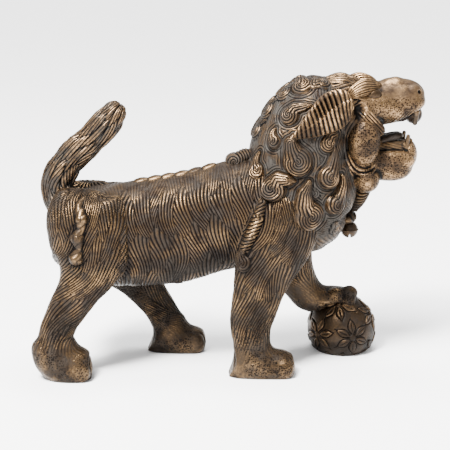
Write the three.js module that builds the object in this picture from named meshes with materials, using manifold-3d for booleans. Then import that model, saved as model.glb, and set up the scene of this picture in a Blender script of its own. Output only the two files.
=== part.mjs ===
// A striding foo dog (guardian lion) in cast bronze, one forepaw on a brocade ball.
// The statue is made of separate castings: a hollow barrel, four legs, a tail, a hollow mane, a head, a jaw,
// and applied curls, ears and trim. Bolts from inside the barrel hold the legs and tail, and a screwed plate
// closes the core opening in the belly.
// Millimetres, +Z up, the head towards +X, the lion's right side towards -Y.
import * as THREE from "three";
import { mergeVertices } from "three/addons/utils/BufferGeometryUtils.js";
import Module from "manifold-3d";

const wasm = await Module();
wasm.setup();

// ---- Driving dimensions ----
const WALL = 5; // thickness of the hollow castings
const GAP = 0.3; // seam between neighbouring castings
const LEG_LINE = { right: -46, left: 42 }; // the lower legs, to each side of the middle plane
const SIDES = { right: -1, left: 1 };

// A station is [x, y, z, half width along Y, half depth square to the centre line].
const BARREL = [
  [-190, 0, 160, 12, 14],
  [-184, 0, 158, 28, 31],
  [-168, 0, 153, 41, 45],
  [-132, 0, 148, 47, 55],
  [-93, 0, 150, 46, 59],
  [-55, 0, 155, 45, 60],
  [-20, 0, 164, 45, 58],
  [12, 0, 171, 47, 60],
  [45, 0, 176, 48, 60],
  [76, 0, 180, 43, 52],
  [96, 0, 180, 30, 36],
  [104, 0, 180, 14, 16],
];
const MANE = [
  [110, 0, 138, 14, 16],
  [105, 0, 145, 29, 31],
  [95, 0, 159, 42, 45],
  [87, 0, 182, 50, 55],
  [81, 0, 210, 54, 57],
  [78, 0, 238, 54, 56],
  [83, 0, 262, 51, 50],
  [90, 0, 283, 45, 43],
  [97, 0, 300, 36, 33],
  [103, 0, 311, 23, 20],
  [104, 0, 315, 11, 10],
];
const SKULL = [
  [100, 0, 284, 28, 26],
  [112, 0, 285, 34, 32],
  [130, 0, 286, 36, 33],
  [148, 0, 288, 31, 29],
  [162, 0, 291, 25, 24],
  [176, 0, 293, 23, 24],
  [191, 0, 294, 22, 23],
  [201, 0, 292, 20, 20],
  [206, 0, 290, 14, 14],
  [209, 0, 289, 7, 7],
];
const JAW = [
  [118, 0, 238, 26, 22],
  [130, 0, 235, 31, 25],
  [147, 0, 231, 30, 25],
  [163, 0, 230, 25, 23],
  [180, 0, 231, 22, 22],
  [193, 0, 230, 19, 20],
  [201, 0, 227, 14, 14],
  [204, 0, 226, 7, 7],
];
const TONGUE = [
  [150, 0, 246, 9, 4],
  [160, 0, 250, 12, 5],
  [174, 0, 254, 12, 5],
  [185, 0, 256, 10, 4.5],
  [190, 0, 255, 5, 3],
];
const TAIL = [
  [-172, 0, 170, 14, 14],
  [-181, 0, 185, 19, 18],
  [-186, 0, 204, 18, 17.5],
  [-179, 0, 223, 17, 17],
  [-164, 0, 241, 16, 16.5],
  [-146, 0, 257, 15, 16],
  [-131, 0, 273, 14, 15.5],
  [-121, 0, 287, 11, 12.5],
  [-115, 0, 293, 6, 6.5],
];
const BALL = { x: 133, y: 38, z: 24.5, radius: 39 };

// Legs, written for a side of +1. The centre line leans in from the paw to the hip or shoulder.
const STRIDING_HIND_LEG = [
  [-156, 24, 204, 9, 16],
  [-157, 29, 195, 21, 34],
  [-155, 32, 179, 27, 42],
  [-152, 34, 157, 28, 43],
  [-150, 36, 137, 26, 40],
  [-154, 40, 117, 22, 32],
  [-163, 43, 99, 18, 24],
  [-173, 45, 83, 16, 21],
  [-183, 46, 66, 15, 19],
  [-189, 46, 49, 15.5, 19],
  [-187, 46, 33, 16, 21],
  [-182, 46, 20, 15, 19],
];
const FORWARD_HIND_LEG = [
  [-152, 24, 204, 9, 16],
  [-152, 29, 195, 21, 34],
  [-148, 32, 179, 27, 42],
  [-141, 34, 155, 28, 43],
  [-131, 37, 130, 26, 39],
  [-117, 41, 108, 22, 33],
  [-102, 44, 88, 18, 26],
  [-90, 46, 70, 16, 21],
  [-79, 46, 54, 15, 18.5],
  [-71, 46, 40, 15.5, 18],
  [-64, 46, 28, 16, 19],
  [-61, 46, 17, 15, 17],
];
const STANDING_FORELEG = [
  [50, 24, 208, 9, 14],
  [52, 29, 197, 20, 31],
  [53, 32, 179, 25, 41],
  [50, 34, 156, 26, 43],
  [43, 37, 134, 24, 38],
  [36, 41, 115, 21, 32],
  [30, 44, 95, 18.5, 27.5],
  [25, 46, 74, 17, 25],
  [22, 46, 56, 16.5, 22.5],
  [23, 46, 38, 17, 20],
  [26, 46, 20, 17, 20],
];
const RAISED_FORELEG = [
  [50, 24, 208, 9, 14],
  [52, 29, 197, 20, 31],
  [54, 32, 179, 25, 41],
  [56, 34, 155, 26, 41],
  [62, 37, 132, 24, 35],
  [69, 41, 110, 21, 29],
  [76, 44, 93, 18, 24],
  [85, 46, 77, 17, 21],
  [95, 46, 64, 17, 19],
  [104, 46, 56, 15, 15],
];

// Paws, along X from the heel to the toes. Each name says whose foot it is.
const RIGHT_HIND_PAW = [
  [-207, 46, 44, 7, 8],
  [-203, 46, 36, 14, 15],
  [-192, 46, 22, 18, 22],
  [-177, 46, 14, 20, 23.5],
  [-164, 46, 13, 20, 22],
  [-155, 46, 12, 15, 17],
  [-152, 46, 12, 8, 11],
];
const FLAT_PAW = [
  [0, 46, 13, 8, 12],
  [4, 46, 12, 15, 19],
  [18, 46, 12, 18, 21],
  [38, 46, 10, 20, 19.5],
  [55, 46, 9, 20, 18],
  [64, 46, 9, 15.5, 14.5],
  [67, 46, 9, 8, 10],
];
const BALL_PAW = [
  [98, 46, 55, 8, 8],
  [103, 46, 57, 15, 13],
  [116, 46, 61, 18, 13],
  [131, 46, 62, 18.5, 11],
  [142, 46, 60, 16, 9.5],
  [148, 46, 57, 9, 6],
];

// ---- Materials ----
const bronze = (color, roughness) => new THREE.MeshStandardMaterial({ color, roughness, metalness: 0.85 });
const BRONZE = bronze(0x6e5a42, 0.45); // brown patina over the body and legs
const GREY_BRONZE = bronze(0x66605a, 0.55); // dusty grey patina over the mane and tail
const GOLD_BRONZE = bronze(0x8a6a42, 0.4); // rubbed curls, cheeks and trim
const DARK_BRONZE = bronze(0x40362c, 0.5); // shaded mouth, bell and ball
const STEEL = new THREE.MeshStandardMaterial({ color: 0x77777a, roughness: 0.4, metalness: 0.9 });

// ---- Shapes ----
const Y_AXIS = new THREE.Vector3(0, 1, 0);

// A closed skin through stations: a cylinder whose rings are laid square to the line of their centres.
// grow moves the skin outwards, and a negative grow gives the inside of a wall.
function loft(stations, { sides = 10, steps = 1, grow = 0 } = {}) {
  const line = new THREE.CatmullRomCurve3(stations.map(([x, y, z]) => new THREE.Vector3(x, y, z)));
  const spans = stations.map(([, , , width, depth]) => new THREE.Vector3(width, depth, 0));
  const sizes = new THREE.CatmullRomCurve3(spans);
  const skin = new THREE.CylinderGeometry(1, 1, 1, sides, (stations.length - 1) * steps);
  const place = skin.getAttribute("position");
  for (let i = 0; i < place.count; i++) {
    const t = THREE.MathUtils.clamp(place.getY(i) + 0.5, 0, 1);
    const along = line.getTangent(t);
    const across = new THREE.Vector3().crossVectors(Y_AXIS, along).normalize();
    const size = sizes.getPoint(t);
    const end = t === 0 ? -grow : t === 1 ? grow : 0;
    const point = line
      .getPoint(t)
      .addScaledVector(Y_AXIS, place.getX(i) * (size.x + grow))
      .addScaledVector(across, place.getZ(i) * (size.y + grow))
      .addScaledVector(along, end);
    place.setXYZ(i, point.x, point.y, point.z);
  }
  return solid(skin);
}

const onSide = (stations, side) => stations.map(([x, y, ...rest]) => [x, y * side, ...rest]);
const nearer = (stations, reach) => stations.map(([x, y, ...rest]) => [x, (y * reach) / 46, ...rest]);
const shifted = (stations, dx, stretch = 1) => stations.map(([x, ...rest]) => [x * stretch + dx, ...rest]);

function ellipsoid([x, y, z], [rx, ry, rz], { sides = 12, grow = 0, turn = [0, 0, 0] } = {}) {
  const shape = new THREE.SphereGeometry(1, sides, Math.ceil(sides * 0.6));
  shape.scale(rx + grow, ry + grow, rz + grow);
  shape.applyMatrix4(new THREE.Matrix4().makeRotationFromEuler(new THREE.Euler(...turn)));
  return solid(shape.translate(x, y, z));
}

// A round bar or cone from one point to another.
function bar(from, to, radius, { tip = radius, sides = 10 } = {}) {
  const start = new THREE.Vector3(...from);
  const reach = new THREE.Vector3(...to).sub(start);
  const shape = new THREE.CylinderGeometry(tip, radius, reach.length(), sides);
  shape.applyQuaternion(new THREE.Quaternion().setFromUnitVectors(Y_AXIS, reach.clone().normalize()));
  const middle = start.addScaledVector(reach, 0.5);
  return solid(shape.translate(middle.x, middle.y, middle.z));
}

function block([x, y, z], [length, width, height]) {
  return solid(new THREE.BoxGeometry(length, width, height).translate(x, y, z));
}

// ---- Joining and cutting ----
function solid(geometry) {
  const bare = new THREE.BufferGeometry().setAttribute("position", geometry.getAttribute("position"));
  bare.setIndex(geometry.getIndex());
  const merged = mergeVertices(bare, 1e-4);
  const corners = [...merged.index.array];
  const faces = [];
  for (let i = 0; i < corners.length; i += 3) {
    const [a, b, c] = corners.slice(i, i + 3);
    if (a !== b && b !== c && c !== a) faces.push(a, b, c);
  }
  return new wasm.Manifold(
    new wasm.Mesh({
      numProp: 3,
      vertProperties: new Float32Array(merged.getAttribute("position").array),
      triVerts: new Uint32Array(faces),
    }),
  );
}

const joined = (...solids) => solids.reduce((whole, next) => whole.add(next));
const cut = (whole, ...tools) => tools.reduce((rest, tool) => rest.subtract(tool), whole);

// The largest body that is left after a cut, without the slivers beside it.
function largest(whole) {
  const bodies = whole.decompose();
  return bodies.reduce((best, body) => (body.volume() > best.volume() ? body : best));
}

const lion = new THREE.Group();

function add(name, whole, material) {
  const { vertProperties, triVerts, numProp } = largest(whole).getMesh();
  const geometry = new THREE.BufferGeometry();
  const places = new THREE.InterleavedBuffer(vertProperties, numProp);
  const points = new Float32Array(places.count * 3);
  for (let i = 0; i < places.count; i++) {
    points.set(vertProperties.subarray(i * numProp, i * numProp + 3), i * 3);
  }
  geometry.setAttribute("position", new THREE.BufferAttribute(points, 3));
  geometry.setIndex(new THREE.BufferAttribute(triVerts, 1));
  const mesh = new THREE.Mesh(geometry, material);
  mesh.name = name;
  lion.add(mesh);
}

const aboveGround = (whole) => cut(whole, block([0, 0, -50], [600, 300, 100]));

// ---- Barrel, with its core opening and plate ----
const barrelForm = (grow = 0) => loft(BARREL, { sides: 16, grow });
const maneForm = (grow = 0) => loft(MANE, { sides: 14, grow });

const PLATE = { x: -72, z: 99, length: 42, width: 30, thickness: 3 };
const SCREW_INSET = 6;
const plateCorners = [-1, 1].flatMap((i) =>
  [-1, 1].map((j) => [PLATE.x + i * (PLATE.length / 2 - SCREW_INSET), j * (PLATE.width / 2 - SCREW_INSET)]),
);
const NECK_HOLE = { from: [60, 0, 180], to: [115, 0, 180], radius: 22 };

// Bolt places: [name, inside end, outside end]. The head is on the inside end.
const LEG_BOLTS = [
  ["hind_leg_bolt", -150, 155, 39, 57],
  ["foreleg_bolt", 46, 163, 38, 54],
];
const bolts = [
  ...Object.entries(SIDES).flatMap(([side, sign]) =>
    LEG_BOLTS.map(([name, x, z, inner, outer]) => [
      `${name}_${side}`,
      [x, sign * inner, z],
      [x, sign * outer, z],
    ]),
  ),
  ["tail_bolt", [-170, 0, 176], [-190, 0, 190]],
];
const BOLT = { radius: 3.5, headRadius: 7, headLength: 7 };

// The inner end of a bolt, behind its head.
function backOf([, inside, outside]) {
  const head = new THREE.Vector3(...inside);
  return head.clone().sub(new THREE.Vector3(...outside)).setLength(BOLT.headLength).add(head).toArray();
}

// The head is let onto the curved inside of the barrel wall.
function boltSolid(bolt) {
  const wall = cut(barrelForm(), barrelForm(-WALL - GAP));
  const hexagon = cut(bar(backOf(bolt), bolt[1], BOLT.headRadius, { sides: 6 }), wall);
  return joined(bar(backOf(bolt), bolt[2], BOLT.radius, { sides: 8 }), hexagon);
}

const boltHoles = () => bolts.map((bolt) => bar(backOf(bolt), bolt[2], BOLT.radius + GAP, { sides: 8 }));

const screwHole = ([x, y]) => bar([x, y, PLATE.z - 5], [x, y, PLATE.z + 9], 1.5 + GAP, { sides: 8 });

function barrel() {
  const shell = cut(barrelForm(), barrelForm(-WALL), bar(NECK_HOLE.from, NECK_HOLE.to, NECK_HOLE.radius));
  const opening = block([PLATE.x, 0, PLATE.z], [PLATE.length - 22, PLATE.width - 14, 40]);
  const rebate = block([PLATE.x, 0, PLATE.z - 20], [PLATE.length + GAP, PLATE.width + GAP, 40 + GAP]);
  const ledge = cut(
    block([PLATE.x, 0, PLATE.z + 3], [PLATE.length + 8, PLATE.width + 8, 6]).intersect(barrelForm(-1)),
    opening,
  );
  const body = joined(cut(shell, opening, rebate), cut(ledge, rebate));
  return cut(body, ...boltHoles(), ...plateCorners.map(screwHole));
}

function bellyPlate() {
  const middle = [PLATE.x, 0, PLATE.z - PLATE.thickness / 2];
  return cut(block(middle, [PLATE.length, PLATE.width, PLATE.thickness]), ...plateCorners.map(screwHole));
}

add("barrel", barrel(), BRONZE);
add("belly_plate", bellyPlate(), BRONZE);
plateCorners.forEach(([x, y], i) => {
  const under = PLATE.z - PLATE.thickness - GAP;
  const shank = bar([x, y, under], [x, y, PLATE.z + 5], 1.5, { sides: 8 });
  const head = bar([x, y, under - 1.8], [x, y, under], 2, { tip: 3, sides: 8 });
  add(`belly_screw_${i + 1}`, joined(head, shank), STEEL);
});

// ---- Legs ----
const paw = (stations, grow = 0) => loft(stations, { sides: 10, grow });

// Four toes across the front of a paw.
function toes(x, y, z, radius) {
  return [-1.5, -0.5, 0.5, 1.5].map((place) =>
    ellipsoid([x - Math.abs(place) * 2, y + place * 9, z], radius, { sides: 6 }),
  );
}

const legs = {
  hind_leg_right: {
    line: LEG_LINE.right,
    stations: STRIDING_HIND_LEG,
    paw: RIGHT_HIND_PAW,
    toe: [-160, 10],
  },
  hind_leg_left: {
    line: LEG_LINE.left,
    stations: FORWARD_HIND_LEG,
    paw: shifted(FLAT_PAW, -86, 0.9),
    toe: [-33, 10],
  },
  foreleg_right: {
    line: LEG_LINE.right,
    stations: STANDING_FORELEG,
    paw: shifted(FLAT_PAW, 2),
    toe: [61, 10],
  },
  foreleg_left: {
    line: BALL.y,
    stations: RAISED_FORELEG,
    paw: BALL_PAW,
    toe: [141, 60],
  },
};
const TOE = [10, 6.2, 11];
const BALL_TOE = [9, 6.2, 8];

// The right legs stand at the full distance from the middle plane and the left legs a little nearer.
function limbForm({ line, stations }, grow = 0) {
  return loft(onSide(nearer(stations, Math.abs(line)), Math.sign(line)), { grow });
}
function legForm(leg, grow = 0) {
  const foot = onSide(nearer(leg.paw, Math.abs(leg.line)), Math.sign(leg.line));
  const size = leg.stations === RAISED_FORELEG ? BALL_TOE : TOE;
  return joined(limbForm(leg, grow), paw(foot, grow), ...toes(leg.toe[0], leg.line, leg.toe[1], size));
}


// ---- Ball under the raised paw, cored from below ----
const BALL_CORE = { radius: 19, depth: 40 };
const PIN = { x: 124, radius: 3, from: 46, to: 66 };

const round = (radius) => [radius, radius, radius];
const ballForm = (grow = 0) =>
  ellipsoid([BALL.x, BALL.y, BALL.z], round(BALL.radius), { sides: 16, grow });
const pin = (grow = 0) =>
  bar([PIN.x, BALL.y, PIN.from - grow], [PIN.x, BALL.y, PIN.to + grow], PIN.radius + grow, { sides: 8 });

function brocadeBall() {
  const [low, high] = [-10, BALL_CORE.depth].map((z) => [BALL.x, BALL.y, z]);
  const core = bar(low, high, BALL_CORE.radius, { sides: 14 });
  return aboveGround(cut(ballForm(), core, pin(GAP)));
}

// ---- Legs ----
for (const [name, leg] of Object.entries(legs)) {
  const seated = cut(legForm(leg), barrelForm(GAP), maneForm(GAP), ...boltHoles());
  const rested = name === "foreleg_left" ? cut(seated, ballForm(GAP), pin(GAP)) : seated;
  add(name, aboveGround(rested), BRONZE);
}
add("brocade_ball", brocadeBall(), DARK_BRONZE);
add("ball_pin", pin(), STEEL);
for (const bolt of bolts) add(bolt[0], boltSolid(bolt), STEEL);

// ---- Tail ----
const haunches = [limbForm(legs.hind_leg_right, GAP), limbForm(legs.hind_leg_left, GAP)];
add("tail", cut(loft(TAIL), barrelForm(GAP), ...boltHoles(), ...haunches), GREY_BRONZE);

// ---- Mane, head and jaw ----
const EAR = [
  [127, 40, 301, 4, 9],
  [119, 44, 298, 6.5, 17],
  [107, 48, 291, 7, 20.5],
  [94, 51, 282, 7, 17],
  [80, 53, 273, 5.5, 10.5],
  [66, 54, 265, 2.5, 3],
];
const PALATE = [
  [166, 0, 266, 10, 6],
  [180, 0, 270, 14, 9],
  [204, 0, 272, 12, 8],
];
const TROUGH = [
  [150, 0, 252, 12, 8],
  [168, 0, 256, 15, 9],
  [190, 0, 258, 12, 9],
  [196, 0, 258, 6, 6],
];
const BROW = [
  [125, 30, 303, 2, 3],
  [132, 29, 308, 6, 7],
  [144, 25, 313, 8, 9],
  [154, 21, 314, 6.5, 6],
  [162, 19, 313, 2, 2],
];
const BEARD = [
  [150, 0, 209, 11, 8],
  [147, 0, 197, 14, 9.5],
  [141, 0, 184, 12, 9],
  [137, 0, 173, 6, 5],
];
const CHEEK = { at: [144, 28.5, 253], radius: [16, 13.5, 22] };
const EYE = { at: [149, 26, 305], radius: [7.5, 6, 5.5] };
const FANGS = {
  upper_fang: [[202, 12, 281], [206, 13, 264], 3.8],
  lower_fang: [[190, 13, 245], [193, 13, 258], 3.2],
};

const headForm = (grow = 0) => loft(SKULL, { sides: 12, grow });
const jawForm = (grow = 0) => loft(JAW, { sides: 12, grow });
const cheek = (side, grow = 0) =>
  ellipsoid([CHEEK.at[0], side * CHEEK.at[1], CHEEK.at[2]], CHEEK.radius, { sides: 10, grow });
const eye = (side, grow = 0) =>
  ellipsoid([EYE.at[0], side * EYE.at[1], EYE.at[2]], EYE.radius, { sides: 10, grow });
const ear = (side, grow = 0) => loft(onSide(EAR, side), { sides: 8, grow });
const brow = (side, grow = 0) => loft(onSide(BROW, side), { sides: 8, grow });
const beard = (grow = 0) => loft(BEARD, { sides: 10, grow });
const fang = ([[x, y, z], [tx, ty, tz], radius], side, grow = 0) =>
  bar([x, side * y, z], [tx, side * ty, tz], radius + grow, { tip: 0.6 + grow, sides: 7 });
const both = (make) => [make(-1), make(1)];

add("mane", cut(maneForm(), maneForm(-WALL), barrelForm(GAP)), GREY_BRONZE);
add(
  "head",
  cut(
    headForm(),
    maneForm(GAP),
    jawForm(GAP),
    loft(PALATE, { sides: 8 }),
    ...both((side) => cheek(side, GAP)),
    ...both((side) => eye(side, GAP)),
    ...both((side) => ear(side, GAP)),
    ...both((side) => brow(side, GAP)),
    ...both((side) => fang(FANGS.upper_fang, side, GAP)),
  ),
  GOLD_BRONZE,
);
add(
  "lower_jaw",
  cut(
    jawForm(),
    maneForm(GAP),
    loft(TROUGH, { sides: 8 }),
    ...both((side) => cheek(side, GAP)),
    ...both((side) => fang(FANGS.lower_fang, side, GAP)),
  ),
  GOLD_BRONZE,
);
const trough = cut(jawForm(GAP), loft(TROUGH, { sides: 8, grow: -GAP }));
add("tongue", cut(loft(TONGUE, { sides: 8 }), trough, maneForm(GAP), headForm(GAP)), DARK_BRONZE);
add("throat_beard", cut(beard(), maneForm(GAP), jawForm(GAP)), BRONZE);
for (const [name, side] of Object.entries(SIDES)) {
  add(`ear_${name}`, cut(ear(side), maneForm(GAP)), GOLD_BRONZE);
  add(`cheek_${name}`, cut(cheek(side), maneForm(GAP), ear(side, GAP)), GOLD_BRONZE);
  add(`brow_${name}`, cut(brow(side), eye(side, GAP), ear(side, GAP), maneForm(GAP)), GOLD_BRONZE);
  add(`eye_${name}`, eye(side), DARK_BRONZE);
  for (const [place, line] of Object.entries(FANGS)) add(`${place}_${name}`, fang(line, side), GREY_BRONZE);
}

// ---- Chest bell and its knot ----
const KNOT = { at: [131, 0, 166], radius: [10, 12, 8] };
const BELL = { at: [134, 0, 151], radius: 9.5 };
const bell = (grow = 0) => ellipsoid(BELL.at, round(BELL.radius), { sides: 10, grow });
const knot = ellipsoid(KNOT.at, KNOT.radius, { sides: 10 });
add("chest_knot", cut(knot, maneForm(GAP), bell(GAP), beard(GAP)), BRONZE);
add("bell", cut(bell(), maneForm(GAP)), DARK_BRONZE);

// ---- Spine crest and curls ----
const CREST = { from: -98, to: -21, lumps: 6, radius: [10.5, 6, 4.5] };

// The height of a form's skin above a place on its middle plane, found with a ray.
function skinOf(whole) {
  const { vertProperties, triVerts } = whole.getMesh();
  const geometry = new THREE.BufferGeometry();
  geometry.setAttribute("position", new THREE.BufferAttribute(vertProperties, 3));
  geometry.setIndex(new THREE.BufferAttribute(triVerts, 1));
  return new THREE.Mesh(geometry);
}
function hit(skins, from, direction) {
  const ray = new THREE.Raycaster(new THREE.Vector3(...from), new THREE.Vector3(...direction));
  const found = ray.intersectObjects(skins);
  return found.length > 0 ? found[0].point : null;
}
const barrelSkin = skinOf(barrelForm());
const maneSkin = skinOf(maneForm());
const shoulders = { "-1": skinOf(limbForm(legs.foreleg_right)), 1: skinOf(limbForm(legs.foreleg_left)) };

const crest = Array.from({ length: CREST.lumps }, (_, i) => {
  const x = CREST.from + ((CREST.to - CREST.from) * i) / (CREST.lumps - 1);
  const top = hit([barrelSkin], [x, 0, 400], [0, 0, -1]);
  return ellipsoid([x, 0, top.z], CREST.radius, { sides: 6 });
});

// A curl is a hook that comes down from its tail and turns in on itself.
// Along the hook: across, up, thickness.
const HOOK = [
  [0.1, 2.1, 0.12],
  [-0.48, 1.35, 0.29],
  [-0.72, 0.45, 0.37],
  [-0.5, -0.42, 0.38],
  [0.2, -0.6, 0.38],
  [0.65, -0.02, 0.32],
  [0.3, 0.46, 0.14],
];
// [name, x, z, size, turn in degrees, 1 or -1 to face forwards or back]
const CURLS = [
  ["crown_curl", 78, 303, 10, 60, 1],
  ["nape_curl", 64, 281, 11, 20, -1],
  ["neck_curl", 47, 255, 10, 10, 1],
  ["side_curl", 72, 229, 16, -10, 1],
  ["collar_curl", 28, 224, 11, 15, -1],
  ["shoulder_curl", 47, 201, 13, 20, 1],
  ["chest_curl", 80, 172, 16, -5, 1],
  ["throat_curl", 108, 212, 12, -5, 1],
  ["breast_curl", 113, 183, 13, 0, 1],
  ["temple_curl", 103, 252, 9, 80, 1],
];
const CURL_HEIGHT = 7;

function curl([, x, z, size, turn, facing], side, grow = 0) {
  const angle = THREE.MathUtils.degToRad(turn);
  const skins = [maneSkin, barrelSkin, shoulders[side]];
  const seat = (px, pz) => hit(skins, [px, side * 200, pz], [0, -side, 0]);
  const stations = [];
  for (const [u, v, thickness] of HOOK) {
    const [across, up] = [u * facing * size, v * size];
    const px = x + across * Math.cos(angle) - up * Math.sin(angle);
    const pz = z + across * Math.sin(angle) + up * Math.cos(angle);
    const skin = seat(px, pz);
    const height = Math.min(CURL_HEIGHT, thickness * size * 1.6);
    if (skin && skin.y * side > 10) stations.push([px, skin.y, pz, height, thickness * size]);
  }
  const eyeSize = [size * 0.75, CURL_HEIGHT * 0.7, size * 0.75];
  const eyeOfCurl = ellipsoid([x, seat(x, z).y, z], eyeSize, { sides: 8, grow });
  return joined(loft(stations, { sides: 6, grow }), eyeOfCurl);
}

add("spine_crest", cut(joined(...crest), barrelForm(GAP), maneForm(GAP)), BRONZE);
const SPINE_CURL = { at: [8, 0, 230], radius: [11, 14, 9] };
const spineCurl = ellipsoid(SPINE_CURL.at, SPINE_CURL.radius, { sides: 10 });
add("spine_curl", cut(spineCurl, barrelForm(GAP), maneForm(GAP), joined(...crest)), GREY_BRONZE);
for (const [name, side] of Object.entries(SIDES)) {
  const below = [maneForm(GAP), barrelForm(GAP), ear(side, GAP), headForm(GAP), jawForm(GAP)];
  const limb = limbForm(side < 0 ? legs.foreleg_right : legs.foreleg_left, GAP);
  const taken = [...below, limb, cheek(side, GAP)];
  CURLS.forEach((line) => {
    add(`${line[0]}_${name}`, cut(curl(line, side), ...taken), GREY_BRONZE);
    taken.push(curl(line, side, GAP));
  });
}

// The group's origin is the middle of its footprint, on the ground.
const extent = new THREE.Box3().setFromObject(lion);
const centre = extent.getCenter(new THREE.Vector3());
lion.children.forEach((mesh) => mesh.geometry.translate(-centre.x, -centre.y, -extent.min.z));

export default lion;
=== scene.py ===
"""Looks of a striding guardian lion in patinated cast bronze.

Every casting is a signed distance field on a lattice, in the CAD's own place. The big castings are fused with
soft fillets and then parted again along their seams, so that each node keeps a closed piece of its own.
Fur, curls and stipple are cut into the meshes as relief, and the same lines drive the patina.
"""

import itertools
import math

import bpy
import numpy as np
import openvdb
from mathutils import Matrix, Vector


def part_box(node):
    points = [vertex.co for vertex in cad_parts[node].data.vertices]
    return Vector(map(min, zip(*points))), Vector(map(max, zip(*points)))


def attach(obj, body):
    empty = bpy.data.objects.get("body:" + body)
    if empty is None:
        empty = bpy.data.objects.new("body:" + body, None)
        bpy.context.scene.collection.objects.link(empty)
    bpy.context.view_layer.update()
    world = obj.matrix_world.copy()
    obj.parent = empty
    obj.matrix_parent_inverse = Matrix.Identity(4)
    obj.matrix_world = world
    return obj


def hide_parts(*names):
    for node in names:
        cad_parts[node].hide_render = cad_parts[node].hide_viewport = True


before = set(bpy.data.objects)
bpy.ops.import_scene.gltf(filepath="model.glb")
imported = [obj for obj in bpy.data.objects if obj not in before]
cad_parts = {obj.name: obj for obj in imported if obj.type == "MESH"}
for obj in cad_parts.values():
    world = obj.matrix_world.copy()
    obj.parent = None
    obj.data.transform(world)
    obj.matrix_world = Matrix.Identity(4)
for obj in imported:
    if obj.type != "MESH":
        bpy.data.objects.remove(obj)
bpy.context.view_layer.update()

# ---- Frame ----
# The lattice steps of the big castings, the curls and the small castings, and the spare room round these.
VOX = 0.9
CURL_VOX = 0.65
SMALL = 0.6
ROOM = 3
# Shapes are written in millimetres about the lion's middle plane, and BALL ties that frame to the CAD's.
BALL = np.array([133.0, 38.0, 24.5])
BALL_R = 39.0
low, high = (np.array(c) * 1000 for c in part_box("brocade_ball"))
OFFSET = np.array([(low[0] + high[0]) / 2 - BALL[0], (low[1] + high[1]) / 2 - BALL[1], 0.0])
SIDES = {"right": -1.0, "left": 1.0}
# The legs are drawn on this line beside the middle plane and moved to their own.
LINE = 46.0

# Stations are x, y, z, half width along Y, half depth square to the centre line.
BARREL = [
    (-190, 0, 160, 12, 14), (-184, 0, 158, 28, 31), (-168, 0, 153, 41, 45), (-132, 0, 148, 47, 55),
    (-93, 0, 150, 46, 59), (-55, 0, 155, 45, 60), (-20, 0, 164, 45, 58), (12, 0, 171, 47, 60),
    (45, 0, 176, 48, 60), (76, 0, 180, 43, 52), (96, 0, 180, 30, 36), (104, 0, 180, 14, 16),
]
MANE = [
    (110, 0, 138, 14, 16), (105, 0, 145, 29, 31), (95, 0, 159, 42, 45), (87, 0, 182, 50, 55),
    (81, 0, 210, 54, 57), (78, 0, 238, 54, 56), (83, 0, 262, 51, 50), (90, 0, 283, 45, 43),
    (97, 0, 300, 36, 33), (103, 0, 311, 23, 20), (104, 0, 315, 11, 10),
]
SKULL = [
    (100, 0, 284, 28, 26), (112, 0, 285, 34, 32), (130, 0, 286, 36, 33), (148, 0, 288, 31, 29),
    (162, 0, 291, 25, 24), (176, 0, 293, 23, 24), (191, 0, 294, 22, 23), (201, 0, 292, 19, 19),
    (206, 0, 290, 13, 13), (208, 0, 289, 7, 7),
]
JAW = [
    (118, 0, 238, 26, 22), (130, 0, 235, 31, 25), (147, 0, 231, 30, 25), (163, 0, 230, 25, 23),
    (180, 0, 231, 22, 22), (192, 0, 230, 19, 20), (200, 0, 228, 14, 14), (203, 0, 227, 7, 7),
]
TAIL = [
    (-172, 0, 170, 14, 14), (-181, 0, 185, 19, 18), (-186, 0, 204, 18, 17.5), (-179, 0, 223, 17, 17),
    (-164, 0, 241, 16, 16.5), (-146, 0, 257, 15, 16), (-131, 0, 273, 14, 15.5), (-121, 0, 286, 11, 12.5),
    (-116, 0, 292, 6, 6.5),
]
HIND_RIGHT = [
    (-156, 24, 204, 9, 16), (-157, 29, 195, 21, 34), (-155, 32, 179, 27, 42), (-152, 34, 157, 28, 43),
    (-150, 36, 137, 26, 40), (-154, 40, 117, 22, 32), (-163, 43, 99, 18, 24), (-173, 45, 83, 16, 21),
    (-183, 46, 66, 15, 19), (-189, 46, 49, 15.5, 19), (-187, 46, 33, 16, 21), (-182, 46, 20, 15, 19),
]
HIND_LEFT = [
    (-152, 24, 204, 9, 16), (-152, 29, 195, 21, 34), (-148, 32, 179, 27, 42), (-141, 34, 155, 28, 43),
    (-131, 37, 130, 26, 39), (-117, 41, 108, 22, 33), (-102, 44, 88, 18, 26), (-90, 46, 70, 16, 21),
    (-79, 46, 54, 15, 18.5), (-71, 46, 40, 15.5, 18), (-64, 46, 28, 16, 19), (-61, 46, 17, 15, 17),
]
FORE_RIGHT = [
    (50, 24, 208, 9, 14), (52, 29, 197, 20, 31), (53, 32, 179, 25, 41), (50, 34, 156, 26, 43),
    (43, 37, 134, 24, 38), (36, 41, 115, 21, 32), (30, 44, 95, 18.5, 27.5), (25, 46, 74, 17, 25),
    (22, 46, 56, 16.5, 22.5), (23, 46, 38, 17, 20), (26, 46, 20, 17, 20),
]
FORE_LEFT = [
    (50, 24, 208, 9, 14), (52, 29, 197, 20, 31), (54, 32, 179, 25, 41), (56, 34, 155, 26, 41),
    (62, 37, 132, 24, 35), (69, 41, 110, 21, 29), (76, 44, 93, 18, 24), (85, 46, 77, 17, 21),
    (95, 46, 64, 17, 19), (104, 46, 56, 15, 15),
]
PAW_HIND_RIGHT = [
    (-207, 46, 44, 7, 8), (-203, 46, 36, 14, 15), (-192, 46, 22, 18, 22), (-177, 46, 14, 20, 23.5),
    (-164, 46, 13, 20, 22), (-155, 46, 12, 15, 17), (-152, 46, 12, 8, 11),
]
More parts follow.
